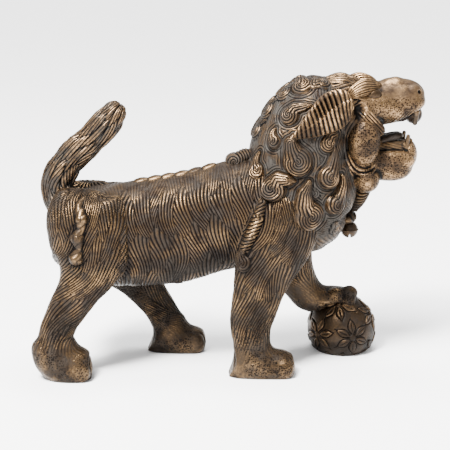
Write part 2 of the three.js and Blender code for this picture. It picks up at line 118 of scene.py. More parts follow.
PAW_FLAT = [
    (0, 46, 13, 8, 12), (4, 46, 12, 15, 19), (18, 46, 12, 18, 21), (38, 46, 10, 20, 19.5),
    (55, 46, 9, 20, 18), (64, 46, 9, 15.5, 14.5), (67, 46, 9, 8, 10),
]
PAW_BALL = [
    (98, 46, 55, 8, 8), (103, 46, 57, 15, 13), (116, 46, 61, 18, 13), (131, 46, 62, 18.5, 11),
    (142, 46, 60, 16, 9.5), (148, 46, 57, 9, 6),
]
# Each leg's line, limb, paw, the paw's shift and stretch along X, and its toes' place and radii.
LEGS = {
    "hind_leg_right": (-46.0, HIND_RIGHT, PAW_HIND_RIGHT, 0.0, 1.0, (-160, 10), (10, 6.2, 11)),
    "hind_leg_left": (42.0, HIND_LEFT, PAW_FLAT, -86.0, 0.9, (-33, 10), (10, 6.2, 11)),
    "foreleg_right": (-46.0, FORE_RIGHT, PAW_FLAT, 2.0, 1.0, (61, 10), (10, 6.2, 11)),
    "foreleg_left": (38.0, FORE_LEFT, PAW_BALL, 0.0, 1.0, (141, 60), (9, 6.2, 8)),
}


# ---- Lattice and fields ----
def unit(v, least=1e-6):
    """Rows of v at length 1."""
    return v / np.maximum(np.linalg.norm(v, axis=1, keepdims=True), least)


def spline(rows, steps):
    """Smooth rows between the given ones, by Catmull-Rom."""
    p = np.asarray(rows, float)
    p = np.vstack([2 * p[0] - p[1], p, 2 * p[-1] - p[-2]])
    t = np.linspace(0, 1, steps, endpoint=False)[:, None]
    out = []
    for a, b, c, d in zip(p, p[1:], p[2:], p[3:]):
        bend = (2 * a - 5 * b + 4 * c - d) * t**2 + (3 * b - a - 3 * c + d) * t**3
        out.append(0.5 * (2 * b + (c - a) * t + bend))
    return np.vstack(out + [p[-2][None]])


def loft(stations, steps=7, sides=56):
    """Points and quads of a closed skin through elliptical stations."""
    rows = spline(stations, steps)
    centre, width, depth = rows[:, :3], rows[:, 3:4], rows[:, 4:5]
    along = np.gradient(centre, axis=0)
    across = unit(np.cross(np.array([0.0, 1.0, 0.0]), along))
    angle = np.linspace(0, 2 * math.pi, sides, endpoint=False)
    wide = width * np.cos(angle)
    deep = depth * np.sin(angle)
    rings = centre[:, None, :] + deep[:, :, None] * across[:, None, :]
    rings[:, :, 1] += wide
    n = len(rows)
    points = np.vstack([rings.reshape(-1, 3), centre[:1], centre[-1:]])
    i, j = np.meshgrid(np.arange(n - 1), np.arange(sides), indexing="ij")
    k = (j + 1) % sides
    row, above = i * sides, (i + 1) * sides
    quads = np.stack([row + j, row + k, above + k, above + j], -1).reshape(-1, 4)
    ring = np.arange(sides)
    after = (ring + 1) % sides
    start, end = n * sides, n * sides + 1
    last = (n - 1) * sides
    fans = np.vstack([
        np.stack([np.full(sides, start), after, ring], -1),
        np.stack([np.full(sides, end), last + ring, last + after], -1),
    ])
    return points.astype(np.float32), fans.astype(np.uint32), quads.astype(np.uint32)


# How many lattice steps a field reaches on each side of its skin.
BAND = 14


def field_of(skin, vox=VOX):
    """The distance from a loft's skin, which is less than nothing inside."""
    points, fans, quads = skin
    volume = 0.0
    for tri in (fans, quads[:, :3], quads[:, [0, 2, 3]]):
        a, b, c = (points[tri[:, k]] for k in range(3))
        volume += np.einsum("ij,ij->i", a, np.cross(b, c)).sum()
    if volume < 0:
        fans, quads = fans[:, ::-1], quads[:, ::-1]
    return openvdb.FloatGrid.createLevelSetFromPolygons(
        np.ascontiguousarray(points),
        triangles=np.ascontiguousarray(fans),
        quads=np.ascontiguousarray(quads),
        transform=openvdb.createLinearTransform(voxelSize=vox),
        halfWidth=float(BAND),
    )


def corners(f):
    """The corners of a lattice cell and their trilinear weights, for offsets f into the cell."""
    for corner in itertools.product((0, 1), repeat=3):
        yield corner, abs(1 - np.array(corner) - f).prod(axis=1)


class Box:
    """A block of the lattice, given in millimetres."""

    def __init__(self, lo, hi, vox=VOX):
        self.vox = vox
        self.lo = np.floor(np.asarray(lo, float) / vox).astype(int)
        hi = np.ceil(np.asarray(hi, float) / vox).astype(int)
        self.shape = tuple(int(v) for v in hi - self.lo + 1)
        axes = [(self.lo[a] + np.arange(self.shape[a])) * vox for a in range(3)]
        axes = [a.astype(np.float32) for a in axes]
        self.x, self.y, self.z = np.meshgrid(*axes, indexing="ij", sparse=True)

    def read(self, grid):
        values = np.full(self.shape, BAND * self.vox, np.float32)
        grid.copyToArray(values, ijk=tuple(int(v) for v in self.lo))
        return values

    def keep(self, values):
        far = BAND * self.vox
        grid = openvdb.FloatGrid(float(far))
        grid.transform = openvdb.createLinearTransform(voxelSize=self.vox)
        clipped = np.clip(values, -far, far).astype(np.float32)
        grid.copyFromArray(clipped, ijk=tuple(int(v) for v in self.lo))
        return grid

    def sample(self, values, p):
        """Trilinear values at points in millimetres."""
        q = np.asarray(p, float) / self.vox - self.lo
        q = np.clip(q, 0, np.array(self.shape) - 1.001)
        i = q.astype(int)
        return sum(weight * values[tuple((i + corner).T)] for corner, weight in corners(q - i))

    def gradient(self, values, p, step):
        """The direction in which values grow fastest at points."""
        g = np.zeros_like(p)
        for a, e in enumerate(np.eye(3) * step):
            g[:, a] = self.sample(values, p + e) - self.sample(values, p - e)
        return unit(g)


def smin(a, b, k):
    """The smaller of two distances with a fillet of size k, which fades out from 6 to 10 mm off the skin."""
    h = np.maximum(k - abs(a - b), 0) / k
    low = np.minimum(a, b)
    return low - h * h * k * 0.25 * np.clip((10 - low) / 4, 0, 1)


def smax(a, b, k):
    return -smin(-a, -b, k)


def ball_field(b, at, radius):
    """An ellipsoid's distance, near enough close to its skin."""
    axes = [(v - c, r) for v, c, r in zip((b.x, b.y, b.z), at, np.asarray(radius, float))]
    k = np.sqrt(sum((v / r) ** 2 for v, r in axes))
    g = np.sqrt(sum((v / r**2) ** 2 for v, r in axes))
    return k * (k - 1) / np.maximum(g, 1e-6)


def swell(d, b, forms):
    """Joins balls to a field by fillet, place and radii, and takes out those whose fillet is negative."""
    for fillet, at, radius in forms:
        ball = ball_field(b, at, radius)
        d = smin(d, ball, fillet) if fillet > 0 else smax(d, -ball, -fillet)
    return d


def rod_field(b, start, end, r0, r1):
    """A rod between two points whose radius runs from r0 to r1."""
    s, e = np.asarray(start, float), np.asarray(end, float)
    d = e - s
    axes = [(v - c, k) for v, c, k in zip((b.x, b.y, b.z), s, d)]
    t = np.clip(sum(v * k for v, k in axes) / (d @ d), 0, 1)
    gap = np.sqrt(sum((v - t * k) ** 2 for v, k in axes))
    return gap - (r0 + (r1 - r0) * t)


def chain_field(b, points, radii):
    return np.minimum.reduce([rod_field(b, *ends) for ends in zip(points, points[1:], radii, radii[1:])])


# ---- The big castings ----
fields = {}
boxes = {}


def placed(stations, line, dx=0.0, stretch=1.0):
    return [(x * stretch + dx, y * line / LINE, z, w, d) for x, y, z, w, d in stations]


for name, stations in (
    ("barrel", BARREL), ("mane_loft", MANE), ("tail", TAIL), ("skull_loft", SKULL), ("jaw_loft", JAW),
):
    skin = loft(stations)
    fields[name] = field_of(skin)
    boxes[name] = (skin[0].min(0) - 14, skin[0].max(0) + 14)

# Where the toes stand across a paw, in toe widths, and the knuckles and shoulder of the raised leg.
TOES = (-1.5, -0.5, 0.5, 1.5)
TOE_WIDTH = 9
RAISED = [(3, (125, 27, 68), (10, 8, 8)), (3, (140, 29, 69), (10, 8, 8)), (6, (46, 49, 163), (17, 9.5, 18))]

for leg, (line, limb, paw, dx, stretch, toe, toe_r) in LEGS.items():
    limb_skin = loft(placed(limb, line))
    paw_skin = loft(placed(paw, line, dx, stretch))
    lo = np.minimum(limb_skin[0].min(0), paw_skin[0].min(0)) - 12
    hi = np.maximum(limb_skin[0].max(0), paw_skin[0].max(0)) + 12
    b = Box(lo, hi)
    f = smin(b.read(field_of(limb_skin)), b.read(field_of(paw_skin)), 9)
    toes = [(2.5, (toe[0] - abs(k) * 2, line + k * TOE_WIDTH, toe[1]), toe_r) for k in TOES]
    f = swell(f, b, toes + (RAISED if leg == "foreleg_left" else []))
    # Flat soles on the ground.
    f = smax(f, -b.z, 1.0)
    fields[leg] = b.keep(f)
    boxes[leg] = (lo, hi)


# ---- Head and jaw, modelled about the middle plane ----
class Fold:
    """A box seen with Y folded on to one side, for forms that come in pairs."""

    def __init__(self, b):
        self.x, self.y, self.z = b.x, abs(b.y), b.z


HEAD_BOX = ((92, -62, 190), (218, 62, 330))
# Fillet, place and radii of the crown, brows, muzzle and lips.
FACE = [
    (6, (121, 0, 307), (20, 27, 17)), (6, (155, 19, 291), (18, 12, 14)), (6, (174, 15, 288), (17, 11, 11)),
    (5, (193, 11, 294), (18, 13.5, 11.5)),
]
# The nose and its wings, then the nostrils and the hollows behind the cheeks.
NOSE = [
    (3, (181, 0, 311), (9, 12, 9)), (4, (200, 0, 303), (10, 13, 10)), (2, (198, 11, 305), (9, 7.5, 8.5)),
    (-2, (205, 16.5, 306), (3.2, 3.0, 2.4)), (-5, (136, 36, 290), (6, 8, 13)),
]
# The lower lips, the front of the lip, the chin, the cheeks' feet and the hollow for the tongue.
CHIN = [
    (3, (179, 17.5, 231), (22, 7.5, 10.5)), (4, (197, 0, 237), (8.5, 16, 14.5)),
    (6, (178, 10, 220), (20, 13, 12)), (3, (149, 19, 212), (14, 12.5, 15)), (-3, (174, 0, 262), (24, 14, 12)),
]

TEETH = [((198, 5, 250.5), 2.4), ((190, 13, 248), 2.0)]


def head_field(b):
    f = Fold(b)
    d = swell(b.read(fields["skull_loft"]), f, FACE)
    # A lip line that climbs to the front, with the teeth ridge inside it.
    lip = np.minimum(262 + (b.x - 162) * 0.56, 262 + (b.x - 162) * 3)
    inner = smax(d, abs(b.y) - 10 + 0 * b.x, 2)
    d = smax(d, lip - b.z + 0 * b.y, 3)
    d = smin(d, inner, 2)
    # The corner of the mouth, the palate, the upper lip's front and the bridge.
    d = smin(d, rod_field(f, (144, 27, 284), (160, 22, 266), 8.5, 7), 4)
    d = swell(d, f, [(-3, (186, 0, 262), (30, 11, 13)), (2, (201, 0, 279.5), (9.5, 13, 10.5))])
    d = smin(d, rod_field(f, (174, 0, 309), (194, 0, 306), 9.5, 9.0), 5)
    return swell(d, f, NOSE)


def jaw_field(b):
    f = Fold(b)
    d = b.read(fields["jaw_loft"])
    d = smax(d, np.minimum(b.z - 242, abs(b.y) - 15) + 0 * b.x, 4)
    d = swell(d, f, CHIN)
    return swell(d, f, [(1.2, at, (r, r, r * 1.4)) for at, r in TEETH])


for name, make in (("head", head_field), ("lower_jaw", jaw_field)):
    b = Box(*HEAD_BOX)
    fields[name] = b.keep(make(b))
    boxes[name] = tuple(np.array(c, float) for c in HEAD_BOX)
fields["mane"] = fields["mane_loft"]
boxes["mane"] = (boxes["mane_loft"][0], boxes["mane_loft"][1] + 8)

# The castings in the order they are fused, each with its fillet to those before it.
FILLET = {
    "barrel": 0, "hind_leg_right": 10, "hind_leg_left": 10, "foreleg_right": 9, "foreleg_left": 9, "tail": 8,
    "mane": 4, "head": 7, "lower_jaw": 5,
}
CASTINGS = list(FILLET)


def raw(b, names=CASTINGS):
    """The castings' own fields, as far as they reach into a block."""
    lo, hi = b.lo * VOX, (b.lo + np.array(b.shape)) * VOX
    return {n: b.read(fields[n]) for n in names if (boxes[n][0] < hi).all() and (boxes[n][1] > lo).all()}


def fused(parts):
    whole = None
    for n, values in parts.items():
        whole = values if whole is None else smin(whole, values, FILLET[n])
    return whole


class Surface:
    """The fused lion near a place, for seating smaller pieces."""

    def __init__(self, lo, hi, names=CASTINGS):
        self.box = Box(lo, hi)
        self.values = fused(raw(self.box, names))

    def seat(self, p):
        """Moves a point on to the skin, straight inwards on a flank, and gives the skin's normal there."""
        p = np.array([p], float)
        flank = abs(p[0, 1]) > 30
        for _ in range(16):
            gap = self.box.sample(self.values, p)
            if flank:
                p[:, 1] -= np.sign(p[:, 1]) * gap * 0.8
            else:
                p = p - self.box.gradient(self.values, p, 2.5) * gap[:, None] * 0.9
        return p[0], self.box.gradient(self.values, p, 6.0)[0]


# ---- Curls ----
# Anchor on the right side, radius, stem's top (across, up), 1 for a stem behind or -1 for one in front, and
# how proud the curl stands.
CURLS = {
    "crown": ((77, -19, 313), 10.0, (-9, 17), 1, 0.45),
    "nape": ((62, -37, 285), 9.0, (20, 14), -1, 0.6),
    "neck": ((46, -37, 257), 6.0, (-2, 14), 1, 1.0),
    "side": ((70, -53, 238), 13.5, (-5, 27), 1, 1.5),
    "collar": ((29, -30.5, 223), 7.5, (2, 19), 1, 0.8),
    "shoulder": ((46, -43, 208), 12.0, (22, 10), -1, 1.4),
    "chest": ((83, -50, 179), 14.0, (-2, 38), 1, 1.6),
    "throat": ((103, -48, 220), 10.5, (8, 31), -1, 1.5),
    "breast": ((111, -44, 190), 9.5, (9, 30), -1, 1.5),
    "temple": ((103, -45, 256), 8.0, (12, 9), -1, 0.6),
}
# Smaller curls that belong to the mane casting itself.
MANE_CURLS = [
    ((43, -9, 284), 8.5, (4, 16), 1, 0.5),
    ((31, -10, 262), 8.0, (8, 16), 1, 0.5),
    ((60, -12, 303), 9.0, (10, 12), 1, 0.4),
    ((60, -52, 190), 5.0, (-6, 12), 1, 0.5),
    ((98, -20, 318), 9.0, (16, 4), 1, 0.35),
    ((88, -50, 203), 5.0, (-4, 10), 1, 0.5),
    ((113, -33, 161), 6.5, (2, 8), 1, 0.5),
]
# How high a curl and its foot may stand, and the width of a whirl's rib.
CURL_HEIGHT = 7.2
CURL_FOOT = 1.3
CURL_PITCH = 3.0


class Curl:
    """A whirl with a stem, lying on the skin: e1 and e2 run along the skin and n stands on it."""

    def __init__(self, spec, side, surface):
        anchor, self.r, top, facing, proud = spec
        self.r *= 1.1
        at = np.array(anchor, float) * np.array([1, -side, 1])
        self.at, n = surface.seat(at)
        up = np.array([0, 0, 1.0]) - n * n[2]
        if np.linalg.norm(up) < 0.3:
            up = np.array([-1.0, 0, 0]) - n * -n[0]
        self.e2 = up / np.linalg.norm(up)
        self.e1 = np.cross(self.e2, n) * -side * facing
        self.n = n
        tip = np.array([top[0] * facing, top[1]], float)
        r = self.r
        bend = (tip + [-0.7 * r, 0.8 * r]) * 0.5
        self.stem = np.array([[-0.12 * r, 0.1 * r], [-0.4 * r, 0.75 * r], bend, tip])
        self.stem_r = np.array([0.88, 0.64, 0.46, 0.14]) * r
        self.reach = max(abs(tip).max() + 4, r + 4)
        self.height = min((0.42 * r + 1.0) * proud, CURL_HEIGHT)
        self.base = min(1.2 * proud, CURL_FOOT)

    def plane(self, *place):
        """Offsets from the curl's middle along e1, e2 and n."""
        off = [v - c for v, c in zip(place, self.at)]
        return [sum(v * k for v, k in zip(off, axis)) for axis in (self.e1, self.e2, self.n)]

    def outline(self, u, v):
        """Distance to the footprint, and coordinates that run round the whirl and up the stem."""
        disc = np.sqrt(u * u + v * v) - self.r
        best, cu = np.inf, 0.0
        for a, b, ra, rb in zip(self.stem, self.stem[1:], self.stem_r, self.stem_r[1:]):
            d = b - a
            length = math.hypot(*d)
            t = np.clip(((u - a[0]) * d[0] + (v - a[1]) * d[1]) / length**2, 0, 1)
            gx, gy = u - a[0] - t * d[0], v - a[1] - t * d[1]
            radius = ra + (rb - ra) * t
            gap = np.sqrt(gx * gx + gy * gy)
            side = np.sign(gx * d[1] - gy * d[0])
            across = -0.45 * self.r + np.clip(side * gap / radius, -1.3, 1.3) * 0.55 * self.r
            nearer = gap - radius < best
            best = np.where(nearer, gap - radius, best)
            cu = np.where(nearer, across, cu)
        on_stem = (best < disc) & (v > 0)
        return smin(disc, best, 0.25 * self.r), np.where(on_stem, cu, u), np.where(on_stem, 0.0, v)

    def rise(self, d):
        """Height above the ground for a distance inside the outline; it falls away outside."""
        t = np.clip(-d / (0.7 * self.r), 0, 1)
        dome = self.base + self.height * np.sqrt(np.maximum(1 - (1 - t) ** 2, 0))
        return np.where(d < 0, dome, self.base - 2.2 * d)

    def solid(self, b, ground):
        """The curl's own field over a ground: a relief with a thin foot, cut off away from its place."""
        u, v, w = self.plane(b.x, b.y, b.z)
        relief = ground - self.rise(self.outline(u, v)[0])
        far = abs(w) - 1.6 * self.r - 6
        return np.maximum(np.maximum(relief * 0.8, -(ground + 2.2)), far)


mane_near = Surface((-5, -75, 105), (150, 75, 335))
curls = {}
elbow_curls = {}
ELBOW = {"right": (13, -50, 128), "left": (18, -46, 140)}
for side_name, side in SIDES.items():
    for name, spec in CURLS.items():
        curls[f"{name}_curl_{side_name}"] = Curl(spec, side, mane_near)
    elbow = (ELBOW[side_name], 8.0, (-3, 14), 1, 0.7)
    elbow_curls[f"foreleg_{side_name}"] = Curl(elbow, side, mane_near)
mane_curls = [Curl(spec, side, mane_near) for side in SIDES.values() for spec in MANE_CURLS]

# The mane's own curls are fused into its field.
b = mane_near.box
whole = smin(b.read(fields["mane_loft"]), ball_field(b, (94, 0, 303), (21, 30, 17)), 6)
ground = whole
for c in mane_curls:
    whole = np.minimum(whole, c.solid(b, ground))
fields["mane"] = b.keep(whole)

# A ribbed plume down the front of each shoulder and another down each haunch.
# Each has its line, radii and the pitch of its ribs.
PLUMES = {
    "foreleg": (
        [(34, 47, 193), (29, 52, 178), (22, 52, 160), (14, 51, 144), (11, 50, 133)],
        [3, 6, 6.5, 5.5, 3], 4.6,
    ),
    "hind_leg": (
        [(-156, 41, 197), (-160, 46, 189), (-157, 53, 178), (-158, 56, 170), (-162, 57, 160), (-160, 57, 149),
         (-163, 55, 139)],
        [2.0, 3.5, 6.5, 4.0, 7.0, 3.0, 8.0], 9.0,
    ),
}
plumes = {}
for (side_name, side), (leg, (line, radii, pitch)) in itertools.product(SIDES.items(), PLUMES.items()):
    name = f"{leg}_{side_name}"
    b = Box(*boxes[name])
    own = b.read(fields[name])
    skin = smin(own, b.read(fields["barrel"]), FILLET[name])
    p = np.array(line, float) * (1, side, 1)
    for _ in range(8):
        p = p - b.gradient(skin, p, 2.0) * b.sample(skin, p)[:, None] * 0.9
    own = smin(own, chain_field(b, p, radii), 2)
    if leg == "foreleg":
        own = np.minimum(own, elbow_curls[name].solid(b, skin))
    fields[name] = b.keep(own)
    plumes[name] = (p, np.array(radii), pitch)


# ---- Meshes ----
def quads_of(b, values):
    """The skin of a field as points and quads that face outwards."""
    points, quads = b.keep(values).convertToQuads(0.0)
    quads = quads.astype(np.int64)
    v = points[quads]
    turn = np.cross(v[:, 2] - v[:, 0], v[:, 3] - v[:, 1])
    if np.einsum("ij,ij->i", v.mean(1) - points.mean(0), turn).sum() < 0:
        quads = quads[:, ::-1]
    return points.astype(float), quads


class Web:
    """Vertices, quads and the averages round each vertex."""

    def __init__(self, points, quads):
        self.p, self.q = points, quads
        self.i = quads.ravel()
        self.j = np.roll(quads, 1, axis=1).ravel()
        self.count = np.bincount(self.i, minlength=len(points)) + np.bincount(self.j, minlength=len(points))

    def mean(self, v):
        out = np.empty_like(v)
        for a in range(v.shape[1]):
            near = np.bincount(self.i, v[self.j, a], len(v)) + np.bincount(self.j, v[self.i, a], len(v))
            out[:, a] = near / self.count
        return out

    def normals(self, soften):
        p, q = self.p, self.q
        f = np.cross(p[q[:, 2]] - p[q[:, 0]], p[q[:, 3]] - p[q[:, 1]])
        n = np.zeros_like(p)
        for k in range(4):
            for a in range(3):
                n[:, a] += np.bincount(q[:, k], f[:, a], len(p))
        for _ in range(soften):
            n = self.mean(n)
        return unit(n, 1e-9)

    def hollow(self):
        """How hollow the skin is, from 0 on a crown to 1 in a groove, at a fine and a broad scale."""
        n = self.normals(1)
        near = self.mean(self.p)
        fine = np.einsum("ij,ij->i", near - self.p, n)
        far = near
        for _ in range(14):
            far = self.mean(far)
        broad = np.einsum("ij,ij->i", far - self.p, n)
        return np.clip(fine / 0.16, -1, 1), np.clip(broad / 1.1, -1, 1)


def noise(p, scale, seed):
    """Smooth value noise from 0 to 1 at points in millimetres."""
    q = p / scale + seed * 17.31
    i = np.floor(q).astype(np.int64)
    f = q - i
    return sum(weight * chance(*(i + corner).T) for corner, weight in corners(f * f * (3 - 2 * f)))


def chance(i, j, k):
    """A repeatable number from 0 to 1 for whole numbers."""
    h = (i * 374761393 + j * 668265263 + k * 1274126177) & 0xFFFFFFFF
    h = ((h ^ (h >> 13)) * 1103515245) & 0xFFFFFFFF
    h = ((h ^ (h >> 15)) * 12345677) & 0xFFFFFFFF
    return ((h ^ (h >> 16)) & 0xFFFF) / 65535.0


def step(v, lo, hi):
    """A smooth step from 0 at lo to 1 at hi."""
    t = np.clip((v - lo) / (hi - lo), 0, 1)
    return t * t * (3 - 2 * t)


def tufts(a, b, wide, tall, pitch, seed, fan, wave):
    """Flame-shaped tufts of strokes over a skin unrolled to a (across) and b (along), in millimetres.

    Gives each point's stroke phase in turns, and from 0 to 1 how far it lies from the tuft's edge and how far
    down the tuft.
    """
    ga, gb = a / wide, b / tall
    ia, ib = np.floor(ga).astype(np.int64), np.floor(gb).astype(np.int64)
    first, second = np.full((2, len(a)), 1e9)
    phase, down = np.zeros((2, len(a)))
    for da, db in itertools.product((-1, 0, 1), repeat=2):
        ja, jb = ia + da, ib + db
        h = chance(ja, jb, seed)
        g = chance(ja, jb, seed + 11)
        ca = ja + 0.5 + 0.55 * (h - 0.5) + 0.5 * (jb % 2) - 0.25
        cb = jb + 0.5 + 0.75 * (g - 0.5)
        u, v = ga - ca, gb - cb
        narrow = 1 + 0.7 * np.clip(v, -0.6, 0.9)
        d = np.sqrt((u * narrow) ** 2 + (0.8 * v) ** 2)
        lean = (h + g - 1.0) * 0.5
        bow = wave * np.sin(v * 3.1 + 6.3 * g)
        ph = (u * wide * (1 + fan * v) + lean * v * tall + bow) / pitch
        nearer = d < first
        second = np.where(nearer, first, np.minimum(second, d))
        phase = np.where(nearer, ph, phase)
        down = np.where(nearer, v, down)
        first = np.where(nearer, d, first)
    edge = np.clip((second - first) * 3.2, 0, 1)
    return phase, edge, np.clip(down + 0.5, 0, 1)


def stroke(phase):
    """The height of a chased line, from 0 in the groove to 1 on the crown."""
    return 0.5 - 0.5 * np.cos(2 * math.pi * phase)


class Path:
    """The middle line of a loft, to unroll the skin round it."""

    def __init__(self, stations, steps=8):
        rows = spline(stations, steps)
        self.c = rows[:, :3]
        self.w, self.d = rows[:, 3], rows[:, 4]
        seg = np.linalg.norm(np.diff(self.c, axis=0), axis=1)
        self.s = np.concatenate([[0], np.cumsum(seg)])
        self.t = unit(np.gradient(self.c, axis=0))
        self.n = unit(np.cross(np.array([0.0, 1.0, 0.0]), self.t))

    def unroll(self, p):
        """Distance along, offset along Y, offset across, and the row each point is nearest to."""
        k = np.zeros(len(p), int)
        for lo in range(0, len(p), 40000):
            part = p[lo:lo + 40000]
            gap = ((part[:, None, :] - self.c[None]) ** 2).sum(-1)
            k[lo:lo + 40000] = gap.argmin(1)
        off = p - self.c[k]
        s = self.s[k] + np.einsum("ij,ij->i", off, self.t[k])
        return s, off[:, 1], np.einsum("ij,ij->i", off, self.n[k]), k


def mesh_object(name, web, marks, material):
    """A mesh in the CAD's frame, in metres, that carries the marks as vectors on its vertices."""
    mesh = bpy.data.meshes.new(name)
    points = (web.p + OFFSET) / 1000.0
    mesh.vertices.add(len(points))
    mesh.vertices.foreach_set("co", points.astype(np.float32).ravel())
    mesh.loops.add(web.q.size)
    mesh.loops.foreach_set("vertex_index", web.q.astype(np.int32).ravel())
    mesh.polygons.add(len(web.q))
    mesh.polygons.foreach_set("loop_start", np.arange(0, web.q.size, 4, dtype=np.int32))
    mesh.polygons.foreach_set("use_smooth", np.ones(len(web.q), bool))
    mesh.update(calc_edges=True)
    for key, value in marks.items():
        layer = mesh.attributes.new(key, "FLOAT_VECTOR", "POINT")
        layer.data.foreach_set("vector", value.astype(np.float32).ravel())
    mesh.materials.append(material)
    obj = bpy.data.objects.new(name, mesh)
    bpy.context.scene.collection.objects.link(obj)
    return obj


def marks_of(web, phase, strength, dots, u, v, whirl, gold, grey):
    """Vertex marks for the patina: the chased lines and dots, the whirls, and the tone."""
    n = len(web.p)
    fine, broad = web.hollow()
    # How hollow each point is; the patina goes nearly black where this is high, partly as patina in the
    # recesses and partly as painted shade.
    hollow = np.clip(0.5 + 0.28 * fine + 0.5 * broad, 0, 1)

    def full(x):
        return np.broadcast_to(np.asarray(x, float), (n,))

    return {
        "flow": np.stack([full(phase), full(strength), full(dots)], 1),
        "whirl": np.stack([full(u), full(v), full(whirl)], 1),
        "tone": np.stack([full(gold), full(grey), hollow], 1),
    }


# The arms of a whirl.
ARMS = 3


def spiral(u, v):
    """The phase of a whirl's lines, in turns."""
    return np.sqrt(u * u + v * v) / CURL_PITCH - ARMS * np.arctan2(v, u) / (2 * math.pi)


# ---- Patina ----
def wire(tree, kind, inputs=(), **settings):
    """A node with its settings made and its inputs set or linked."""
    node = tree.nodes.new(kind)
    for key, value in settings.items():
        setattr(node, key, value)
    for key, value in inputs:
        socket = node.inputs[key]
        if isinstance(value, bpy.types.NodeSocket):
            tree.links.new(value, socket)
        else:
            socket.default_value = value
    return node


class Tree:
    """Short names for a material's nodes."""

    def __init__(self, name):
        self.material = bpy.data.materials.new(name)
        self.material.use_nodes = True
        self.tree = self.material.node_tree
        self.tree.nodes.clear()

    def math(self, operation, *values, clamp=False):
        node = wire(self.tree, "ShaderNodeMath", enumerate(values), operation=operation, use_clamp=clamp)
        return node.outputs[0]

    def times(self, a, b, clamp=False):
        return self.math("MULTIPLY", a, b, clamp=clamp)

    def scaled(self, a, by, plus):
        return self.math("MULTIPLY_ADD", a, by, plus)

    def less(self, a):
        return self.math("SUBTRACT", 1.0, a)

    def ridge(self, turns):
        """Sharp-footed ridges, one to a turn."""
        return self.math("POWER", self.math("ABSOLUTE", self.math("SINE", self.times(turns, math.pi))), 0.55)

    def mix(self, factor, a, b):
        a, b = ((*v, 1.0) if isinstance(v, tuple) else v for v in (a, b))
        return wire(self.tree, "ShaderNodeMix", [(0, factor), (6, a), (7, b)], data_type="RGBA").outputs[2]

    def lerp(self, factor, a, b):
        return wire(self.tree, "ShaderNodeMix", [(0, factor), (2, a), (3, b)], data_type="FLOAT").outputs[0]

    def ramp(self, *values):
        """A smooth step between two values, from 0 to 1 or between two more."""
        node = wire(self.tree, "ShaderNodeMapRange", enumerate(values), interpolation_type="SMOOTHSTEP")
        return node.outputs[0]

    def marks(self, name):
        vector = wire(self.tree, "ShaderNodeAttribute", attribute_name=name).outputs["Vector"]
        return wire(self.tree, "ShaderNodeSeparateXYZ", [(0, vector)]).outputs

    def place(self):
        return wire(self.tree, "ShaderNodeTexCoord").outputs["Object"]

    def noise(self, scale, detail, rough):
        inputs = [("Vector", self.place()), ("Scale", scale), ("Detail", detail), ("Roughness", rough)]
        return wire(self.tree, "ShaderNodeTexNoise", inputs).outputs["Fac"]

    def close(self, color, metal, rough, height, strength, distance, shine):
        relief = [("Height", height), ("Strength", strength), ("Distance", distance)]
        normal = wire(self.tree, "ShaderNodeBump", relief).outputs[0]
        shader = wire(self.tree, "ShaderNodeBsdfPrincipled", [
            ("Base Color", color), ("Metallic", metal), ("Roughness", rough), ("Specular IOR Level", shine),
            ("Normal", normal),
        ])
        wire(self.tree, "ShaderNodeOutputMaterial", [(0, shader.outputs[0])])
        return self.material


# Dark of the recesses, body brown, rubbed gold, dust grey, and how much dust.
PATINA = {
    "bronze_brown": (
        (0.0015, 0.0012, 0.0012), (0.006, 0.004, 0.003), (0.200, 0.124, 0.062), (0.026, 0.021, 0.017), 0.50,
    ),
    "bronze_grey": (
        (0.0015, 0.0014, 0.0015), (0.007, 0.005, 0.004), (0.250, 0.155, 0.082), (0.034, 0.030, 0.026), 0.90,
    ),
    "bronze_gold": (
        (0.0015, 0.0012, 0.0010), (0.010, 0.006, 0.004), (0.420, 0.255, 0.125), (0.026, 0.021, 0.017), 0.22,
    ),
    "bronze_dark": (
        (0.0012, 0.0010, 0.0010), (0.007, 0.005, 0.004), (0.120, 0.076, 0.042), (0.040, 0.034, 0.030), 0.70,
    ),
    "bronze_ball": (
        (0.0012, 0.0010, 0.0010), (0.005, 0.0035, 0.0025), (0.110, 0.068, 0.036), (0.026, 0.021, 0.018), 0.40,
    ),
}
VERDIGRIS = (0.045, 0.085, 0.070)


